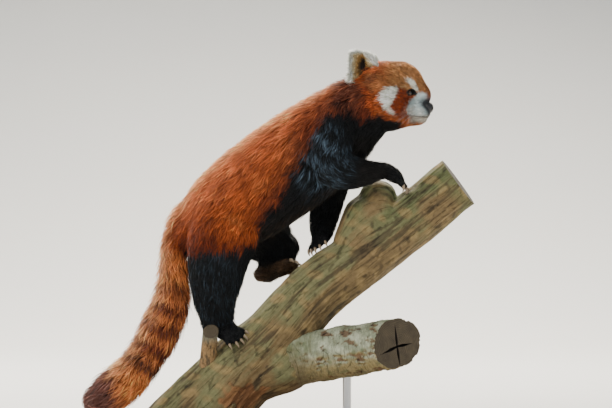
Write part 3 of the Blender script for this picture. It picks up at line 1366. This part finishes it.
def mottled(tree, shader, source, scale, amount, stretch=(1, 1, 1)):
    """Base colour from an output or a plain colour, made uneven. Gives the spots' height."""
    place = add_node(tree, "TexCoord").outputs["Object"]
    place = add_node(tree, "Mapping", {"Vector": place, "Scale": stretch}).outputs["Vector"]
    colour = source if isinstance(source, bpy.types.NodeSocket) else (*source, 1)
    uneven = add_node(tree, "Group", node_tree=MOTTLE)
    feed(tree, uneven, {"Vector": place, "Color": colour, "Scale": scale, "Amount": amount})
    feed(tree, shader, {"Base Color": uneven.outputs["Color"]})
    return uneven.outputs["Height"]


def raised(tree, shader, height, strength, distance, invert=False):
    """The shader's normal from a height."""
    relief = add_node(tree, "Bump", {"Strength": strength, "Distance": distance, "Height": height},
                      invert=invert)
    feed(tree, shader, {"Normal": relief.outputs["Normal"]})


def uneven_material(name, roughness, colour, scale, amount, bump=None, stretch=(1, 1, 1), **finish):
    """One colour, or the colours kept at the piece's points, made uneven by spots."""
    made, tree, shader = fresh_material(name, roughness, **finish)
    if isinstance(colour, str):
        colour = add_node(tree, "VertexColor", layer_name=colour).outputs["Color"]
    height = mottled(tree, shader, colour, scale, amount, stretch)
    if bump:
        raised(tree, shader, height, *bump)
    return made


# Rings of the eye by share of its radius: pupil, iris and its dark rim
EYE_RINGS = [(0.0, (0.002, 0.002, 0.002)), (0.34, (0.002, 0.002, 0.002)), (0.38, (0.055, 0.022, 0.008)),
             (0.58, (0.030, 0.012, 0.005)), (0.66, (0.004, 0.003, 0.003)), (1.0, (0.02, 0.015, 0.013))]


def eye_material(side):
    """A dark brown iris and a black pupil by the distance from the way the eye looks."""
    made, tree, shader = fresh_material(f"eye_{'left' if side > 0 else 'right'}_glass", 0.04, gloss=0.30)
    turn = (HEAD.to_3x3() @ eye_frame(side)).to_4x4()
    turn.translation = HEAD @ mirrored(EYE_PLACE, side)
    back = turn.inverted()
    place = add_node(tree, "TexCoord").outputs["Object"]
    mapping = add_node(tree, "Mapping", {"Vector": place, "Location": back.translation,
                                         "Rotation": back.to_euler("XYZ")})
    flat = add_node(tree, "VectorMath", {0: mapping.outputs["Vector"], 1: (0, 1, 1)}, operation="MULTIPLY")
    away = add_node(tree, "VectorMath", {0: flat.outputs[0]}, operation="LENGTH")
    share = add_node(tree, "Math", {0: away.outputs["Value"], 1: EYE_RADIUS}, operation="DIVIDE")
    ramp = add_node(tree, "ValToRGB", {"Fac": share.outputs[0]})
    stops = ramp.color_ramp.elements
    stops.remove(stops[1])
    stops[0].color = (*EYE_RINGS[0][1], 1)
    for at, colour in EYE_RINGS[1:]:
        stops.new(at).color = (*colour, 1)
    feed(tree, shader, {"Base Color": ramp.outputs["Color"], "Coat Weight": 0.40, "Coat Roughness": 0.02})
    return made


def leather_material():
    """The nose pad: black, pebbled, moist."""
    made, tree, shader = fresh_material("nose_leather", 0.34)
    mottled(tree, shader, tint(30, 29, 31), 500, 0.7)
    place = add_node(tree, "TexCoord").outputs["Object"]
    pebbles = add_node(tree, "TexVoronoi", {"Scale": 1500, "Vector": place})
    raised(tree, shader, pebbles.outputs["Distance"], 0.5, 0.0004, invert=True)
    return made


def wood_material(name, cracks, crack_width, specks, relief_depth):
    """Weathered wood or bark: its points' colours, split and fibred along its own grain."""
    made, tree, shader = fresh_material(name, 0.84, gloss=0.3)
    tone = add_node(tree, "VertexColor", layer_name="tone").outputs["Color"]
    along = add_node(tree, "Attribute", attribute_name="grain").outputs["Vector"]
    place = add_node(tree, "TexCoord").outputs["Object"]
    warp = add_node(tree, "TexNoise", {"Scale": 48, "Detail": 4, "Vector": place})
    bent = add_node(tree, "VectorMath", {0: warp.outputs["Color"], 1: (0.30, 0.45, 0.45), 2: along},
                    operation="MULTIPLY_ADD").outputs[0]
    splits = add_node(tree, "TexVoronoi", {"Scale": cracks, "Vector": bent}, feature="DISTANCE_TO_EDGE")
    width = add_node(tree, "MapRange", {"Value": warp.outputs["Fac"], "From Min": 0.42, "From Max": 0.66,
                                        "To Min": 0.002, "To Max": crack_width * 2.2})
    open_split = add_node(tree, "MapRange",
                          {"Value": splits.outputs["Distance"], "From Max": width.outputs["Result"]},
                          interpolation_type="SMOOTHSTEP")
    fibres = add_node(tree, "TexNoise", {"Scale": 2.6, "Detail": 8, "Roughness": 0.7, "Vector": bent})
    height = add_node(tree, "Math", {0: open_split.outputs["Result"], 1: 0.34, 2: fibres.outputs["Fac"]},
                      operation="MULTIPLY_ADD").outputs[0]
    shade = add_node(tree, "MapRange", {"Value": height, "From Min": 0.30, "From Max": 1.05, "To Min": 0.22,
                                        "To Max": 1.30})
    dark = add_node(tree, "VectorMath", {0: tone, "Scale": shade.outputs["Result"]}, operation="SCALE")
    mottled(tree, shader, dark.outputs[0], specks, 1.0)
    raised(tree, shader, height, 0.9, relief_depth)
    return made


def sawn_material(name, centre):
    """Growth rings about an end's middle, with fine pores."""
    made, tree, shader = fresh_material(name, 0.85)
    place = add_node(tree, "TexCoord").outputs["Object"]
    offset = add_node(tree, "VectorMath", {0: place, 1: centre}, operation="SUBTRACT")
    away = add_node(tree, "VectorMath", {0: offset.outputs[0]}, operation="LENGTH")
    warp = add_node(tree, "TexNoise", {"Scale": 38, "Vector": place})
    bent = add_node(tree, "Math", {0: warp.outputs["Fac"], 1: RING_WANDER, 2: away.outputs["Value"]},
                    operation="MULTIPLY_ADD")
    ring = add_node(tree, "Math", {0: bent.outputs[0], 1: 2 * math.pi / RING_STEP}, operation="MULTIPLY")
    wave = add_node(tree, "Math", {0: ring.outputs[0]}, operation="SINE")
    ramp = add_node(tree, "MapRange", {"Value": wave.outputs[0], "From Min": -1})
    blend = add_node(tree, "Mix", {"A": (*tint(58, 49, 36), 1), "B": (*tint(80, 69, 51), 1),
                                   "Factor": ramp.outputs["Result"]}, data_type="RGBA")
    height = mottled(tree, shader, blend.outputs["Result"], 70, 1.5)
    raised(tree, shader, height, 0.6, 0.0009)
    return made


# Eyes, nose, claws and whiskers

def make_eye(side):
    """An eyeball with a low cornea standing from its front."""
    eye = oval((0, 0, 0), (EYE_RADIUS,) * 3, None, 32, 48)
    points = points_of(eye)
    front = np.clip(points[:, 0] / EYE_RADIUS, 0, 1)
    rise = 0.0006 * easing(front, 0.72, 0.98)
    place_points(eye, points * (1 + rise / EYE_RADIUS)[:, None])
    turn = eye_frame(side).to_4x4()
    turn.translation = mirrored(EYE_PLACE, side)
    eye.data.transform(HEAD @ turn)
    eye.name = "eyeball_" + ("left" if side > 0 else "right")
    bpy.ops.object.shade_smooth()
    eye.data.materials.append(eye_material(side))
    return eye


# Hollows of the left nostril, its opening and the slit at its side: place, half sizes, degrees
# about Z and X, rings and sides
NOSTRIL = [((0.0712, 0.0052, -0.0240), (0.0052, 0.0021, 0.0029), 35, -18, 16, 20),
           ((0.0690, 0.0088, -0.0262), (0.0048, 0.0010, 0.0012), 62, 0, 12, 16)]


def make_nose():
    """The nose pad: flat in front, its nostrils cut and curled out, a groove down its middle."""
    pad = oval(NOSE_PLACE, [r - 0.0002 for r in NOSE_RADII], None, 40, 56)
    local = points_of(pad) - np.array(NOSE_PLACE)
    ahead = np.clip(local[:, 0] / NOSE_RADII[0], 0, 1)
    local[:, 0] *= 1 - 0.10 * ahead**3
    local[:, 1] *= 1 + 0.08 * np.clip(local[:, 2] / NOSE_RADII[2], -1, 1)
    groove = np.exp(-(local[:, 1] / 0.0011) ** 2) * ahead * easing(-local[:, 2], -0.004, 0.003)
    local[:, 0] -= 0.0013 * groove
    place_points(pad, local + np.array(NOSE_PLACE))
    for side in (1, -1):
        for place, radii, yaw, roll, rings, sides in NOSTRIL:
            turn = Matrix.Rotation(side * math.radians(yaw), 3, "Z")
            turn = turn @ Matrix.Rotation(math.radians(roll), 3, "X")
            combine(pad, oval(mirrored(Vector(place), side), radii, turn, rings, sides))
    in_head(pad)
    pad.name = "nose_pad"
    hold(pad)
    bpy.ops.object.shade_smooth_by_angle(angle=math.radians(50))
    dress(pad, leather_material())
    return pad


CLAW_SIDES = 12
CLAW_STEPS = 8


def claw_form():
    """One claw at the origin, a cone drawn down into a hook, deeper than wide."""
    centre, angles = Vector((0, 0, 0)), ring_angles(CLAW_SIDES)
    rings = []
    for k in range(CLAW_STEPS + 2):
        share = max(0, k - 1) / CLAW_STEPS
        heading = CLAW_CURL * share
        ahead = Vector((math.cos(heading), 0, -math.sin(heading)))
        up = Vector((math.sin(heading), 0, math.cos(heading)))
        if k > 1:
            centre = centre + ahead * CLAW_LENGTH / CLAW_STEPS
        wide = 0 if k in (0, CLAW_STEPS + 1) else CLAW_RADIUS * (1 - share**1.5)
        rings.append([centre + up * wide * 1.3 * math.cos(a) + Vector((0, wide * math.sin(a), 0))
                      for a in angles])
    form = rolled(rings)
    bpy.ops.object.shade_smooth()
    return form


def make_claws():
    """Every claw, one form copied to the end of each toe."""
    pattern = claw_form()
    horn = uneven_material("claw_horn", 0.35, tint(138, 120, 98), 900, 0.9, (0.2, 0.0002))
    pattern.data.materials.append(horn)
    made = []
    for name, paw in PAWS.items():
        for number, (place, turn) in enumerate(toe_frames(paw), 1):
            claw = twin(pattern)
            root = place + turn @ Vector((TOE_RADII[0] - CLAW_SINK, 0, 0.0015))
            claw.data.transform(Matrix.Translation(root) @ turn.to_4x4())
            claw.name = f"horn_{name}_{number}"
            made.append((claw, f"claw_{name}_{number}"))
    bpy.data.objects.remove(pattern)
    return made


WHISKER_ROWS = 4
WHISKERS_IN_ROW = 5
WHISKER_WIDTH = 0.00048


def make_whiskers(tree):
    """Long pale hairs in rows on the whisker pads and a few over the eyes."""
    rng = np.random.default_rng(COAT_SEED + 1)
    roots, aims, lengths = [], [], []
    for side in (1, -1):
        for row in range(WHISKER_ROWS):
            for k in range(WHISKERS_IN_ROW):
                x = 0.058 - 0.0055 * k + rng.uniform(-0.001, 0.001)
                z = -0.022 - 0.0042 * row + 0.001 * k
                roots.append(Vector((x, 0.022 * side, z)))
                aims.append(Vector((-0.30 - 0.12 * k, side, -0.10 - 0.10 * row + rng.uniform(-0.1, 0.1))))
                lengths.append(0.030 + 0.006 * k + rng.uniform(-0.004, 0.006))
        for k in range(3):
            roots.append(Vector((0.034 - 0.003 * k, 0.020 * side, 0.022)))
            aims.append(Vector((-0.2, 0.6 * side, 0.8 - 0.2 * k)))
            lengths.append(0.022)
    steps = 7
    centres, sides, ups = [], [], []
    for root, aim, length in zip(roots, aims, lengths):
        spot = tree.find_nearest(HEAD @ root)[0]
        ahead = (HEAD.to_3x3() @ aim).normalized()
        line = [spot - ahead * 0.002]
        for k in range(steps):
            ahead = (ahead + Vector((-0.03, 0, -0.07))).normalized()
            line.append(line[-1] + ahead * length / steps)
        across = ahead.cross(Vector((0, 0, 1))).normalized()
        centres.append(line)
        sides.append([across] * steps)
        ups.append([across.cross(ahead)] * steps)
    centres, sides, ups = (np.array(rows, dtype=float) for rows in (centres, sides, ups))
    widths = np.tile(WHISKER_WIDTH * (1 - np.linspace(0, 0.75, steps)), (len(centres), 1))
    points, triangles, local = blades(centres, sides, ups, widths, widths)
    colours = np.tile(WHISKER, (len(points), 1))
    number = np.arange(len(centres))
    middles = np.stack([number % 8, number // 8], axis=1) / 10 + 0.1
    patches = np.repeat(middles, len(local), axis=0) + np.tile((local - 0.5) * PATCH, (len(centres), 1))
    return mesh_object("whiskers", points, triangles, colours, patches)


# Wood

def nearest_on(path, points):
    """Place along a path, angle round it and direction out of it for each point."""
    along, across, up = run_frames(path)
    nearest = np.argmin(((points[:, None] - path[None, :, :3]) ** 2).sum(axis=2), axis=1)
    offset = points - path[nearest, :3]
    ahead = np.sum(offset * along[nearest], axis=1)
    travelled = np.append(0, np.cumsum(np.linalg.norm(np.diff(path[:, :3], axis=0), axis=1)))[nearest] + ahead
    angle = np.arctan2(np.sum(offset * across[nearest], axis=1), np.sum(offset * up[nearest], axis=1))
    return travelled, angle


def grain_of(wood, stations, radius, long, fine):
    """Each point's place in the wood's own grain: drawn out along or round it, and how far along."""
    travelled, angle = nearest_on(smooth_run(stations), points_of(wood))
    round_it = np.stack([np.cos(angle), np.sin(angle)], axis=1) * radius / fine
    return np.column_stack([travelled / long, round_it]), travelled


def noise_on(spots, seed, octaves=4):
    """Rough noise at each place."""
    shifted = (spots + (0, 0, seed)).tolist()
    return np.array([noise.fractal(spot, 0.7, 2.1, octaves) for spot in shifted])


def wood_form(forms, voxel=BARK_VOXEL, ease=3):
    """Forms grown into one piece of wood, its creases eased."""
    wood = joined(forms)
    applied(wood, "REMESH", mode="VOXEL", voxel_size=voxel)
    return applied(wood, "SMOOTH", factor=0.5, iterations=ease)


def relieve(wood, heights):
    """Each point moved along its own normal."""
    return place_points(wood, points_of(wood) + normals_of(wood) * heights[:, None])


def lay(wood, colours, spots):
    """The wood's colours and its place in the grain, kept at its points."""
    colour_points(wood, "tone", np.clip(colours, 0, 1))
    layer = wood.data.attributes.new("grain", "FLOAT_VECTOR", "POINT")
    layer.data.foreach_set("vector", spots.astype(np.float32).ravel())


# What lies in a sawn end's plane: how square a face is to it, how near its middle or a point
SQUARE_TO_END = 0.97
FACE_NEAR_END = 0.0006
POINT_NEAR_END = 0.0004


def give_sawn(wood, cut, material):
    """The material of a sawn end on the faces that lie in its plane."""
    point, normal = cut
    normal = normal.normalized()
    wood.data.materials.append(material)
    slot = len(wood.data.materials) - 1
    for face in wood.data.polygons:
        near = abs((face.center - point).dot(normal)) < FACE_NEAR_END
        if near and face.normal.dot(normal) > SQUARE_TO_END:
            face.material_index = slot


def end_middle(wood, cut):
    """The middle of the points that lie in a sawn end's plane."""
    point, normal = cut
    points = points_of(wood)
    close = np.abs((points - np.array(point)) @ np.array(normal.normalized())) < POINT_NEAR_END
    return Vector(points[close].mean(axis=0))


def crack(wood, centre, axis, ways, material, depth, width):
    """Radial cracks cut in a sawn end, thin wedges from the middle out."""
    axis = axis.normalized()
    side = axis.cross(Vector((0, 0, 1))).normalized()
    up = side.cross(axis)
    for degrees, reach in ways:
        a = math.radians(degrees)
        outward = side * math.cos(a) + up * math.sin(a)
        across = axis.cross(outward)
        start, waist = centre - outward * 0.003, centre + outward * reach * 0.35
        corners = [start + across * width * 0.5, start - across * width * 0.5, waist + across * width,
                   waist - across * width, centre + outward * reach]
        outline = [c + axis * 0.002 for c in corners]
        outline += [centre + (c - centre) * 0.85 - axis * depth for c in corners]
        let_go()
        bpy.ops.mesh.primitive_cone_add(vertices=3, radius1=1, depth=1)
        wedge = bpy.context.object
        work = bmesh.new()
        for corner in outline:
            work.verts.new(corner)
        bmesh.ops.convex_hull(work, input=work.verts)
        bmesh.ops.recalc_face_normals(work, faces=work.faces)
        work.to_mesh(wedge.data)
        work.free()
        dress(wedge, material)
        combine(wood, wedge, materials="TRANSFER")


def finish_wood(wood, name):
    """The finished wood named and smoothed."""
    wood.name = name
    hold(wood)
    bpy.ops.object.material_slot_remove_unused()
    bpy.ops.object.shade_smooth_by_angle(angle=math.radians(40))
    return wood


def torn_at(points):
    """Where the wood is torn open under the crotch, 0 to 1."""
    away = np.linalg.norm((points - (-0.080, -0.060, 0.066)) / (1.3, 1.0, 0.8), axis=1)
    return easing(0.034 - away + 0.010 * drift(points, 0.020, 45), -0.006, 0.006)


def branch_colours(wood, furrow):
    """Olive grey where the light falls, brown below, torn orange wood under the crotch."""
    points, up = points_of(wood), normals_of(wood)[:, 2]
    blotch = drift(points, 0.060, 42)
    return painted(tint(114, 95, 64), [
        (tint(110, 108, 74), easing(up + 0.45 * blotch, -0.35, 0.50)),
        (tint(90, 98, 62), 0.7 * easing(points[:, 2], 0.36, 0.42) * easing(blotch, -0.8, 0.6)),
        (tint(150, 146, 118), 0.65 * easing(up, 0.50, 0.95) * easing(drift(points, 0.03, 43), -0.8, 0.8)),
        (tint(146, 122, 80), 0.6 * easing(drift(points, 0.040, 47), 0.1, 1.1)),
        (tint(66, 56, 40), 0.8 * easing(-furrow, 0.05, 0.55)),
        (tint(52, 44, 34), 0.6 * easing(drift(points, 0.016, 44), 0.9, 1.7)),
        (mix(tint(150, 106, 68), tint(116, 76, 46), easing(-furrow, -0.3, 0.4)), 0.85 * torn_at(points)),
    ])


# Grain of the woods: radius, how far it is drawn out along the wood and how fine it is round it
BRANCH_GRAIN = (0.055, 0.130, 0.010)
SIDE_GRAIN = (0.048, 0.0065, 0.030)
TWIG_GRAIN = (0.016, 0.020, 0.005)


def make_branch(dark):
    """The main branch: weathered wood with long furrows, its knob and a collar."""
    collar = [row[:3] + (row[3] + 0.003, row[4] + 0.003) for row in SIDE_BRANCH[:2]]
    wood = wood_form([rounded_run(BRANCH), rounded_run(KNOB), rounded_run(collar)])
    spots, _ = grain_of(wood, BRANCH, *BRANCH_GRAIN)
    furrow, fine = noise_on(spots, 1), noise_on(spots * (3.0, 2.8, 2.8), 2, 3)
    lumps = drift(points_of(wood), 0.070, 41)
    splinters = torn_at(points_of(wood)) * (noise_on(spots * (2.0, 1.4, 1.4), 5, 3) * 0.0040 - 0.0025)
    relieve(wood, 0.0016 * furrow + 0.0008 * fine + 0.0010 * lumps + splinters)
    dress(wood, wood_material("weathered_wood", 0.8, 0.060, 150, 0.0014))
    for cut in (LOW_CUT, HIGH_CUT):
        combine(wood, block(*cut))
    high = end_middle(wood, HIGH_CUT)
    crack(wood, high, HIGH_CUT[1], HIGH_CRACKS, dark, 0.012, 0.0016)
    give_sawn(wood, LOW_CUT, sawn_material("sawn_end_low", LOW_CUT[0]))
    give_sawn(wood, HIGH_CUT, sawn_material("sawn_end_high", high))
    spots, _ = grain_of(wood, BRANCH, *BRANCH_GRAIN)
    lay(wood, branch_colours(wood, noise_on(spots, 1)), spots)
    return finish_wood(wood, "branch_wood")


def side_scars(points, travelled):
    """Where the side branch's bark is scarred, 0 to 1, in patches towards its sawn end."""
    ragged = drift(points, 0.030, 52) + 0.55 * drift(points, 0.011, 56) + 0.30 * drift(points, 0.005, 58)
    return easing(ragged - 1.5 * (1 - easing(travelled, 0.080, 0.190)), 0.25, 0.70)


def make_side_branch(dark):
    """The sawn side branch: pale ringed bark with scars, its end parted by deep cracks."""
    wood = wood_form([rounded_run(SIDE_BRANCH)])
    spots, travelled = grain_of(wood, SIDE_BRANCH, *SIDE_GRAIN)
    scars = side_scars(points_of(wood), travelled)
    lumps = drift(points_of(wood), 0.050, 51)
    relieve(wood, 0.0009 * noise_on(spots, 3) + 0.0012 * lumps - 0.0022 * scars)
    dress(wood, wood_material("ringed_bark", 0.50, 0.035, 190, 0.0010))
    combine(wood, block(*SIDE_CUT))
    middle = end_middle(wood, SIDE_CUT)
    crack(wood, middle, SIDE_CUT[1], SIDE_CRACKS, dark, 0.016, 0.0029)
    give_sawn(wood, SIDE_CUT, sawn_material("sawn_end_side", middle))
    spots, travelled = grain_of(wood, SIDE_BRANCH, *SIDE_GRAIN)
    points, up = points_of(wood), normals_of(wood)[:, 2]
    scars, ring = side_scars(points, travelled), noise_on(spots, 3)
    pits = easing(drift(points, 0.009, 54) + 0.5 * scars, 1.0, 1.6) * easing(scars, 0, 0.5)
    pale = painted(tint(140, 146, 122), [
        (tint(168, 172, 148), easing(drift(points, 0.03, 53), -0.5, 1)),
        (tint(146, 126, 80), 0.85 * easing(-up, -0.15, 0.55)),
        (tint(96, 96, 72), 0.6 * easing(-ring, 0.10, 0.6)),
        (tint(84, 96, 62), 0.5 * easing(drift(points, 0.020, 55), 0.4, 1.3)),
        (tint(104, 76, 54), 0.85 * scars),
        (tint(44, 34, 28), 0.85 * pits),
    ])
    joint = mix(tint(108, 96, 68), tint(100, 104, 72), easing(up, -0.2, 0.6))
    lay(wood, mix(joint, pale, easing(travelled + 0.010 * drift(points, 0.020, 57), 0.070, 0.150)), spots)
    return finish_wood(wood, "side_branch_wood")


def make_twig():
    """The stub of a cut twig beside the hind foot."""
    wood = wood_form([rounded_run(TWIG)], 0.0018, 2)
    spots, _ = grain_of(wood, TWIG, *TWIG_GRAIN)
    relieve(wood, 0.0007 * noise_on(spots, 4))
    dress(wood, wood_material("twig_bark", 1.0, 0.08, 240, 0.0008))
    combine(wood, block(*TWIG_CUT))
    give_sawn(wood, TWIG_CUT, sawn_material("sawn_end_twig", end_middle(wood, TWIG_CUT)))
    spots, _ = grain_of(wood, TWIG, *TWIG_GRAIN)
    furrows, top = easing(-noise_on(spots, 4), 0.0, 0.5), easing(points_of(wood)[:, 2], 0.160, 0.185)
    lay(wood, painted(tint(148, 118, 80), [(tint(84, 72, 54), furrows), (tint(112, 112, 96), top)]), spots)
    return finish_wood(wood, "twig_wood")


def finish_stand():
    """The solids' own base and rods, in dark satin wood and brushed steel."""
    wood = uneven_material("base_wood", 0.38, tint(74, 54, 42), 22, 1.2, (0.12, 0.0004), (0.6, 9, 9))
    steel = uneven_material("rod_steel", 0.3, (0.56, 0.56, 0.57), 60, 0.25, (0.08, 0.0002),
                            (14, 14, 0.5), metallic=1.0)
    for name, material in (("stand_base", wood), ("stand_rod_low", steel), ("stand_rod_side", steel)):
        node = bpy.data.objects[name]
        node.data.materials.clear()
        node.data.materials.append(material)


# Room: camera, floor and lights

VIEW_MIDDLE = Vector((0.030, 0, 0.422))
VIEW_WIDTH = 1.132
VIEW_DISTANCE = 5.0
ROOM_HALF = 9
SWEEP = 2.5
# Lamps: place, size, energy and colour
LAMPS = {
    "key": ((-1.8, -2.6, 2.9), 1.8, 115, (1.0, 0.96, 0.90)),
    "fill": ((2.8, -3.0, 1.2), 2.4, 24, (0.86, 0.93, 1.0)),
    "rim": ((0.4, 2.6, 3.2), 1.4, 400, (1.0, 0.93, 0.82)),
    "rim_left": ((-3.0, 1.4, 2.0), 1.6, 190, (1.0, 0.94, 0.86)),
}
LAMP_TARGET = Vector((0, 0, 0.4))


def look_at(obj, target):
    """The object turned so that its -Z points at the target."""
    obj.rotation_euler = (target - obj.location).to_track_quat("-Z", "Y").to_euler()


def make_camera():
    """The camera level with the animal's side, framed as in the photo."""
    bpy.ops.object.camera_add(location=VIEW_MIDDLE - Vector((0, VIEW_DISTANCE, 0)))
    camera = bpy.context.object
    look_at(camera, VIEW_MIDDLE)
    camera.data.lens = camera.data.sensor_width * VIEW_DISTANCE / VIEW_WIDTH
    camera.data.clip_end = 60
    bpy.context.scene.camera = camera


def make_room():
    """A pale floor that curves up behind into a backdrop."""
    rows = [((ROOM_HALF + SWEEP) * k / 7 - ROOM_HALF, 0) for k in range(8)]
    for k in range(1, 13):
        a = math.pi / 2 * k / 12
        rows.append((SWEEP + SWEEP * math.sin(a), SWEEP - SWEEP * math.cos(a)))
    rows += [(2 * SWEEP, SWEEP + k) for k in range(1, 6)]
    let_go()
    bpy.ops.mesh.primitive_grid_add(x_subdivisions=1, y_subdivisions=len(rows) - 1, size=1)
    floor = bpy.context.object
    place_points(floor, [(x, y, z) for y, z in rows for x in (-ROOM_HALF, ROOM_HALF)])
    bpy.ops.object.shade_smooth()
    floor.name = "room_floor"
    floor.data.materials.append(uneven_material("room_paper", 0.9, (0.74, 0.74, 0.72), 3, 0.04))


def make_lights():
    """Soft lamps before and behind, and a dim even light all round."""
    for name, (place, size, energy, colour) in LAMPS.items():
        bpy.ops.object.light_add(type="AREA", location=place)
        lamp = bpy.context.object
        lamp.name = name
        lamp.data.shape = "DISK"
        lamp.data.size = size
        lamp.data.energy = energy
        lamp.data.color = colour
        look_at(lamp, LAMP_TARGET)
    world = bpy.data.worlds.new("room_light")
    world.use_nodes = True
    background = world.node_tree.nodes["Background"]
    feed(world.node_tree, background, {"Color": (0.80, 0.86, 0.92, 1), "Strength": 0.40})
    bpy.context.scene.world = world


FLESH = ["torso", "neck", "head", "tail_1", "tail_2", "tail_3", "tail_4", "tail_5", "ear_left", "ear_right",
         "foreleg_left", "foreleg_right", "hindleg_left", "hindleg_right", *PAWS]


def build():
    """Every piece made, and put in the place of the solids that it stands for."""
    make_camera()
    dark = uneven_material("crack_dark", 0.95, tint(34, 26, 20), 300, 0.9)
    woods = {"perch_branch": make_branch(dark), "perch_side_branch": make_side_branch(dark),
             "perch_twig": make_twig()}
    for node, wood in woods.items():
        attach(wood, "root")
        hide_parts(node)
    skin, mouth = make_skin(woods.values())
    dress(skin, uneven_material("coat_skin", 0.75, "hair", 420, 0.9, (0.6, 0.0008), gloss=0.25))
    hold(skin)
    bpy.ops.object.shade_smooth_by_angle(angle=math.radians(60))
    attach(skin, "root")
    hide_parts(*FLESH)
    ears = {}
    for side in (1, -1):
        form = ear_form(side)
        ears[side] = tree_of(form)
        bpy.data.objects.remove(form)
    hair = uneven_material("coat_hair", 0.55, "hair", 260, 0.35, gloss=0.28)
    coat = make_coat(skin, ears, mouth, [tree_of(wood) for wood in woods.values()])
    for piece in [*coat, make_whiskers(tree_of(skin))]:
        piece.data.materials.append(hair)
        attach(piece, "root")
    for side, name in ((1, "left"), (-1, "right")):
        eye = make_eye(side)
        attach(eye, "root")
        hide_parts("eye_" + name)
    nose = make_nose()
    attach(nose, "root")
    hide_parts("nose")
    for claw, node in make_claws():
        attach(claw, "root")
        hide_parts(node)
    finish_stand()
    make_room()
    make_lights()


build()
